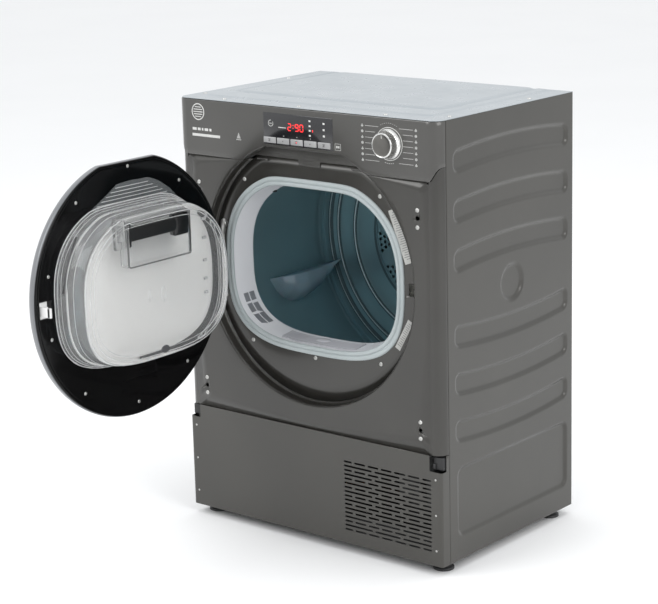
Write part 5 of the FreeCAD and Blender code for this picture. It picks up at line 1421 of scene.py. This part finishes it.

# The beads are moulded ridges, but as a painted highlight their finish is whiter and less clear than the
# tank's, so they read as the bright lines that light draws along the tank's steps. The cap's lines and the
# small moulded marks share this finish.
pale_bead_and_painted_highlight = finish("tank_bead_and_painted_highlight", (0.88, 0.89, 0.89), gloss=0.12, spread=0.06, cloud=14,
                    Transmission_Weight=0.45, IOR=1.4)
beads = Skin()
CONTOURS = ((17.6, -208.9, 0.9), (20.6, -205.2, 0.7), (23.4, -199, 0.7), (24.6, -187, 0.9), (27, -172, 0.6),
            (31.4, -147, 0.9), (39, -142.3, 0.7), (47, -141.8, 0.5))
for inset, x, thick in CONTOURS:
    loops = []
    for k in range(8):
        turn = 2 * math.pi * k / 8
        loops.append(flipped(mouth_on_door(inset + thick * math.cos(turn), x + thick * math.sin(turn), 200)))
    beads.strip(loops + [loops[0]], closed=True)
tank_beads = mesh_object("tank_beads", beads, [pale_bead_and_painted_highlight])
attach(tank_beads, "tank")

CAP_EDGE = [(-118, 139), (-86, 158), (-52, 176), (-30, 189), (0, 191), (48, 190), (74, 180), (100, 163),
            (124, 141)]
cap_path = CAP_EDGE + [(110, 132), (60, 140), (0, 143), (-60, 140), (-104, 132)]
smoke_clear = finish("smoke_clear", (0.5, 0.53, 0.54), shade=(0.42, 0.45, 0.46), gloss=0.08, spread=0.06,
                     cloud=20, grain=300, relief=0.00006, Transmission_Weight=0.8, IOR=1.35)
cap = Skin()


CAP_BACK, CAP_FRONT = -210.2, -209.8
cap.add(plate([(CAP_FRONT, DOOR_Y + u, DOOR_Z + v) for u, v in cap_path], (CAP_BACK - CAP_FRONT, 0, 0),
              0.12))
for k in range(6):
    share = 0.16 + 0.14 * k
    level = 143 + 46 * share
    half = 112 - 84 * share
    cap.add(rounded_block((-210, -209.7), (DOOR_Y - half + 6, DOOR_Y + half + 8),
                          (DOOR_Z + level - 0.6, DOOR_Z + level + 0.6), 0.1), 1)
top_cap = mesh_object("tank_top_cap", cap, [smoke_clear, pale_bead_and_painted_highlight])
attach(top_cap, "tank")

clips = Skin()
for up in (96, 62, 20, -14, -40):
    clips.add(rounded_block((-206.5, -200), (DOOR_Y + 150.5, DOOR_Y + 158.5),
                            (DOOR_Z + up, DOOR_Z + up + 5), 1))
for across, up, size in ((-30, -3, 9), (6, -6, 13)):
    for turn in range(3):
        reach = size - 3 * turn
        clips.strip(turned([(reach, -141.9), (reach + 0.4, -141.5), (reach + 0.8, -141.9)], 40,
                           lambda a, r, x: (x, DOOR_Y + across + 0.5 * r * math.cos(a),
                                            DOOR_Z + up + r * math.sin(a))), closed=True)
moulded_marks = mesh_object("tank_moulded_marks", clips, [pale_bead_and_painted_highlight])
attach(moulded_marks, "tank")

handle = Skin()
bar_rows = []
SQUARENESS = 0.62
for across in [-506.4, -505.8, -504] + span(-500, -362, 24) + [-358, -356, -355.2]:
    row = []
    for k in range(32):
        turn = 2 * math.pi * k / 32
        px = 6.4 * math.copysign(abs(math.cos(turn)) ** SQUARENESS, math.cos(turn))
        pz = 13.2 * math.copysign(abs(math.sin(turn)) ** SQUARENESS, math.sin(turn))
        row.append((-149.6 + px, across, 620.5 + pz))
    bar_rows.append(row)
handle.strip(bar_rows, closed=True)
handle.lid(bar_rows[0])
handle.lid(bar_rows[-1])
handle.add(rounded_block((-163.6, -143.2), (-505.8, -497.4), (598.4, 638.6), 2.6, 4))
handle.add(rounded_block((-163.6, -143.2), (-390, -354.4), (598.4, 638.6), 4, 4))
handle.add(rounded_block((-146, -142.6), (-386, -358), (603, 634), 1.4, 3))
settle(mesh_object("tank_handle_bar", handle, [handle_black], crease=45), "tank", ["tank_handle"])

fittings = Skin()
plug_dark = finish("plug_grey", (0.07, 0.07, 0.075), gloss=0.35, cloud=90)
fittings.strip(turned([(0.01, -141.2), (5, -141.2), (9, -141.3), (10.6, -141.7), (11, -142.4)], 48,
                      lambda a, r, x: (x, DOOR_Y + 4 + r * math.cos(a),
                                       DOOR_Z - 106 + 0.62 * r * math.sin(a))),
               closed=True)
plug = mesh_object("tank_plug", fittings, [plug_dark], outward=(1, 0, 0))
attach(plug, "tank")
comb = repeated("tank_comb_vent", [(-204, DOOR_Y - 170, DOOR_Z + 23)], RIB_ROW, plug_dark, Count=34,
                Pitch=(0, 0.00104, 0.00265), Size=(0.004, 0.0042, 0.0011), Turn=(0.35, 0, 0))
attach(comb, "tank")


# ---- Screws: zinc-plated pan heads with a cross slot, driven into the recess floor, the front, the
# lid and the door ring. Geometry Nodes sets one head at each place and turns it a little.
def cross_head(radius, depth):
    """Screw head seen from -Y, with rounded edge and a cross slot, as an object."""
    skin = Skin()
    rows = [[(wide * radius * math.cos(2 * math.pi * k / 28), -high * depth,
              wide * radius * math.sin(2 * math.pi * k / 28)) for k in range(28)]
            for wide, high in ((0.45, 1), (0.8, 0.82), (0.96, 0.42), (1, 0), (0.9, -0.1))]
    skin.strip(rows, closed=True)
    skin.lid(rows[0])
    skin.lid(rows[-1])
    head = mesh_object("cross_head", skin, [zinc_bright])
    for wide, tall in ((0.6, 0.11), (0.11, 0.6)):
        slot = Skin()
        slot.add(rounded_block((-radius * wide, radius * wide), (-depth * 2, -depth * 0.45),
                               (-radius * tall, radius * tall), radius * 0.04, 1))
        carve(head, mesh_object("cross_slot", slot, []))
    return head


def make_screw_tree():
    """Sets a screw head at every point, faced as asked and turned by a seeded random amount."""
    tree = bpy.data.node_groups.new("set_screws", "GeometryNodeTree")
    socket_list(tree, "INPUT", (("Geometry", "Geometry", None), ("Head", "Object", None),
                                ("Size", "Float", 1.0), ("Facing", "Vector", (0, 0, 0)), ("Seed", "Int", 7),
                                ("Finish", "Material", None)))
    socket_list(tree, "OUTPUT", (("Geometry", "Geometry", None),))
    given = node(tree, "NodeGroupInput")
    head = node(tree, "GeometryNodeObjectInfo", {"Object": given.outputs["Head"]})
    chance = node(tree, "FunctionNodeRandomValue", {"Seed": given.outputs["Seed"]}, data_type="FLOAT")
    chance.inputs[3].default_value = 3.1
    spin = node(tree, "ShaderNodeCombineXYZ", {"Y": chance.outputs[1]})
    own = node(tree, "GeometryNodeInstanceOnPoints", {"Points": given.outputs["Geometry"],
                                                      "Instance": head.outputs["Geometry"],
                                                      "Rotation": given.outputs["Facing"],
                                                      "Scale": given.outputs["Size"]})
    faced = node(tree, "GeometryNodeRotateInstances", {"Instances": own.outputs["Instances"],
                                                       "Rotation": spin.outputs["Vector"],
                                                       "Local Space": True})
    real = node(tree, "GeometryNodeRealizeInstances", {"Geometry": faced.outputs["Instances"]})
    done = node(tree, "GeometryNodeSetMaterial", {"Geometry": real.outputs["Geometry"],
                                                  "Material": given.outputs["Finish"]})
    node(tree, "NodeGroupOutput", {"Geometry": done.outputs["Geometry"]})
    return tree


screw_tree = make_screw_tree()
head = cross_head(4.0, 1.5)
front_spots = [(x, -187.1, z) for x, z in ((158, 668), (-158, 668), (153, 364), (1, 352), (-150, 364))]
front_spots += [(254 * side, -207, z) for side in (-1, 1) for z in (249, 279, 627, 657)]
front_screws = repeated("front_screws", front_spots, screw_tree, zinc_bright, Head=head)
small_screws = repeated("plinth_screws", [(286 * side, -208, z) for side in (-1, 1) for z in (47, 113, 179)],
                        screw_tree, zinc_bright, Head=head, Size=0.5, Seed=3)
hinge_screws = repeated("hinge_screws", [(-212.5, -188.4, 580), (-214, -188.4, 447)], screw_tree, zinc_bright,
                        Head=head, Size=1.2, Seed=5)
lid_spots = [(x, y, 813.0) for x, y in LID_SCREWS]
lid_heads = repeated("lid_screws", lid_spots, screw_tree, zinc_bright, Head=head,
                     Facing=(-math.pi / 2, 0, 0), Seed=9)
door_heads = repeated("ring_screws", [(-211.4, DOOR_Y + across, DOOR_Z + up) for across, up in RING_SCREWS],
                      screw_tree, zinc_bright, Head=head, Size=0.85, Facing=(0, 0, math.pi / 2), Seed=4)
bpy.data.objects.remove(head)
settle(joined("cabinet_screw_heads", front_screws, small_screws, hinge_screws, lid_heads), "cabinet",
       ["cabinet_screws"])
settle(door_heads, "door", ["door_screws"])

# ---- Two pale paper labels stuck to the recess floor beside the seal, printed with rows of plain
# grey bars that say nothing.
paper = finish("label_paper", (0.44, 0.44, 0.42), gloss=0.55, cloud=30)
label = Skin()
for (x1, z1), (x2, z2), wide, rows_of_print in (((185, 648), (221, 556), 20, 22),
                                                ((221, 452), (191, 398), 12, 12)):
    length = math.hypot(x2 - x1, z2 - z1)
    along = ((x2 - x1) / length, (z2 - z1) / length)
    side = (-along[1], along[0])
    place = lambda u, v: (x1 + along[0] * u + side[0] * v, z1 + along[1] * u + side[1] * v)
    corners = [place(0, -wide / 2), place(length, -wide / 2), place(length, wide / 2), place(0, wide / 2)]
    label.add(flat_plate(corners, -187.45, -187.1, 0.1))
    for k in range(rows_of_print):
        start = 5 + (length - 10) * k / rows_of_print
        reach = wide * (0.16 + 0.2 * ((k * 7) % 3) / 2)
        bar = [place(start, -reach), place(start + 1.4, -reach), place(start + 1.4, wide * 0.38),
               place(start, wide * 0.38)]
        label.add(flat_plate(bar, -187.55, -187.4, 0.02), 1)
labels = mesh_object("recess_labels", label, [paper, finish("label_print", (0.19, 0.19, 0.19), gloss=0.6)])
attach(labels, "cabinet")


# ---- Photographic stage: a pale seamless floor, a white room, three soft boxes and the camera
# that looks a little down at the dryer's right front corner.
floor_finish = finish("pale_floor", (0.93, 0.93, 0.93), shade=(0.92, 0.92, 0.92), gloss=0.85, cloud=1.5)
sheet_mesh = bpy.data.meshes.new("floor")
sheet_mesh.from_pydata([(-40, -40, 0), (40, -40, 0), (40, 40, 0), (-40, 40, 0)], [], [(0, 1, 2, 3)])
sheet_mesh.materials.append(floor_finish)
floor = bpy.data.objects.new("floor", sheet_mesh)
bpy.context.scene.collection.objects.link(floor)

room = bpy.data.worlds.new("white_room")
room.use_nodes = True
room.node_tree.nodes["Background"].inputs["Color"].default_value = (0.97, 0.985, 1.0, 1)
sky = room.node_tree.nodes["Background"]
seen = node(room.node_tree, "ShaderNodeLightPath")
lift = node(room.node_tree, "ShaderNodeMapRange", {"Value": seen.outputs["Is Camera Ray"], "To Min": 0.98,
                                                   "To Max": 1.06})
room.node_tree.links.new(lift.outputs["Result"], sky.inputs["Strength"])
bpy.context.scene.world = room
for name, place, size, power in (("key_box", (-1.6, -3.2, 3.0), 2.4, 68),
                                 ("side_box", (3.4, -0.6, 2.2), 2.2, 50),
                                 ("top_box", (0.4, 0.6, 3.4), 2.6, 22)):
    lamp = bpy.data.lights.new(name, "AREA")
    lamp.size = size
    lamp.energy = power
    holder = bpy.data.objects.new(name, lamp)
    holder.location = place
    holder.rotation_mode = "QUATERNION"
    holder.rotation_quaternion = (Vector((0, -0.2, 0.45)) - Vector(place)).to_track_quat("-Z", "Y")
    bpy.context.scene.collection.objects.link(holder)
bpy.context.scene.view_settings.view_transform = "Standard"

camera = bpy.data.objects.new("camera", bpy.data.cameras.new("camera"))
camera.data.lens = 111.51
camera.data.shift_x = -0.0056
camera.data.shift_y = -0.0071
camera.data.clip_start = 0.05
camera.location = (2.32146, -2.92308, 1.34079)
azimuth, elevation, roll = math.radians(39.76), math.radians(13.72), math.radians(-1.47)
back = Vector((math.sin(azimuth) * math.cos(elevation), -math.cos(azimuth) * math.cos(elevation),
               math.sin(elevation)))
across = (-back).cross(Vector((0, 0, 1))).normalized()
above = across.cross(-back)
right = math.cos(roll) * across + math.sin(roll) * above
up = -math.sin(roll) * across + math.cos(roll) * above
camera.rotation_mode = "QUATERNION"
camera.rotation_quaternion = Matrix((right, up, back)).transposed().to_quaternion()
bpy.context.scene.collection.objects.link(camera)
bpy.context.scene.camera = camera
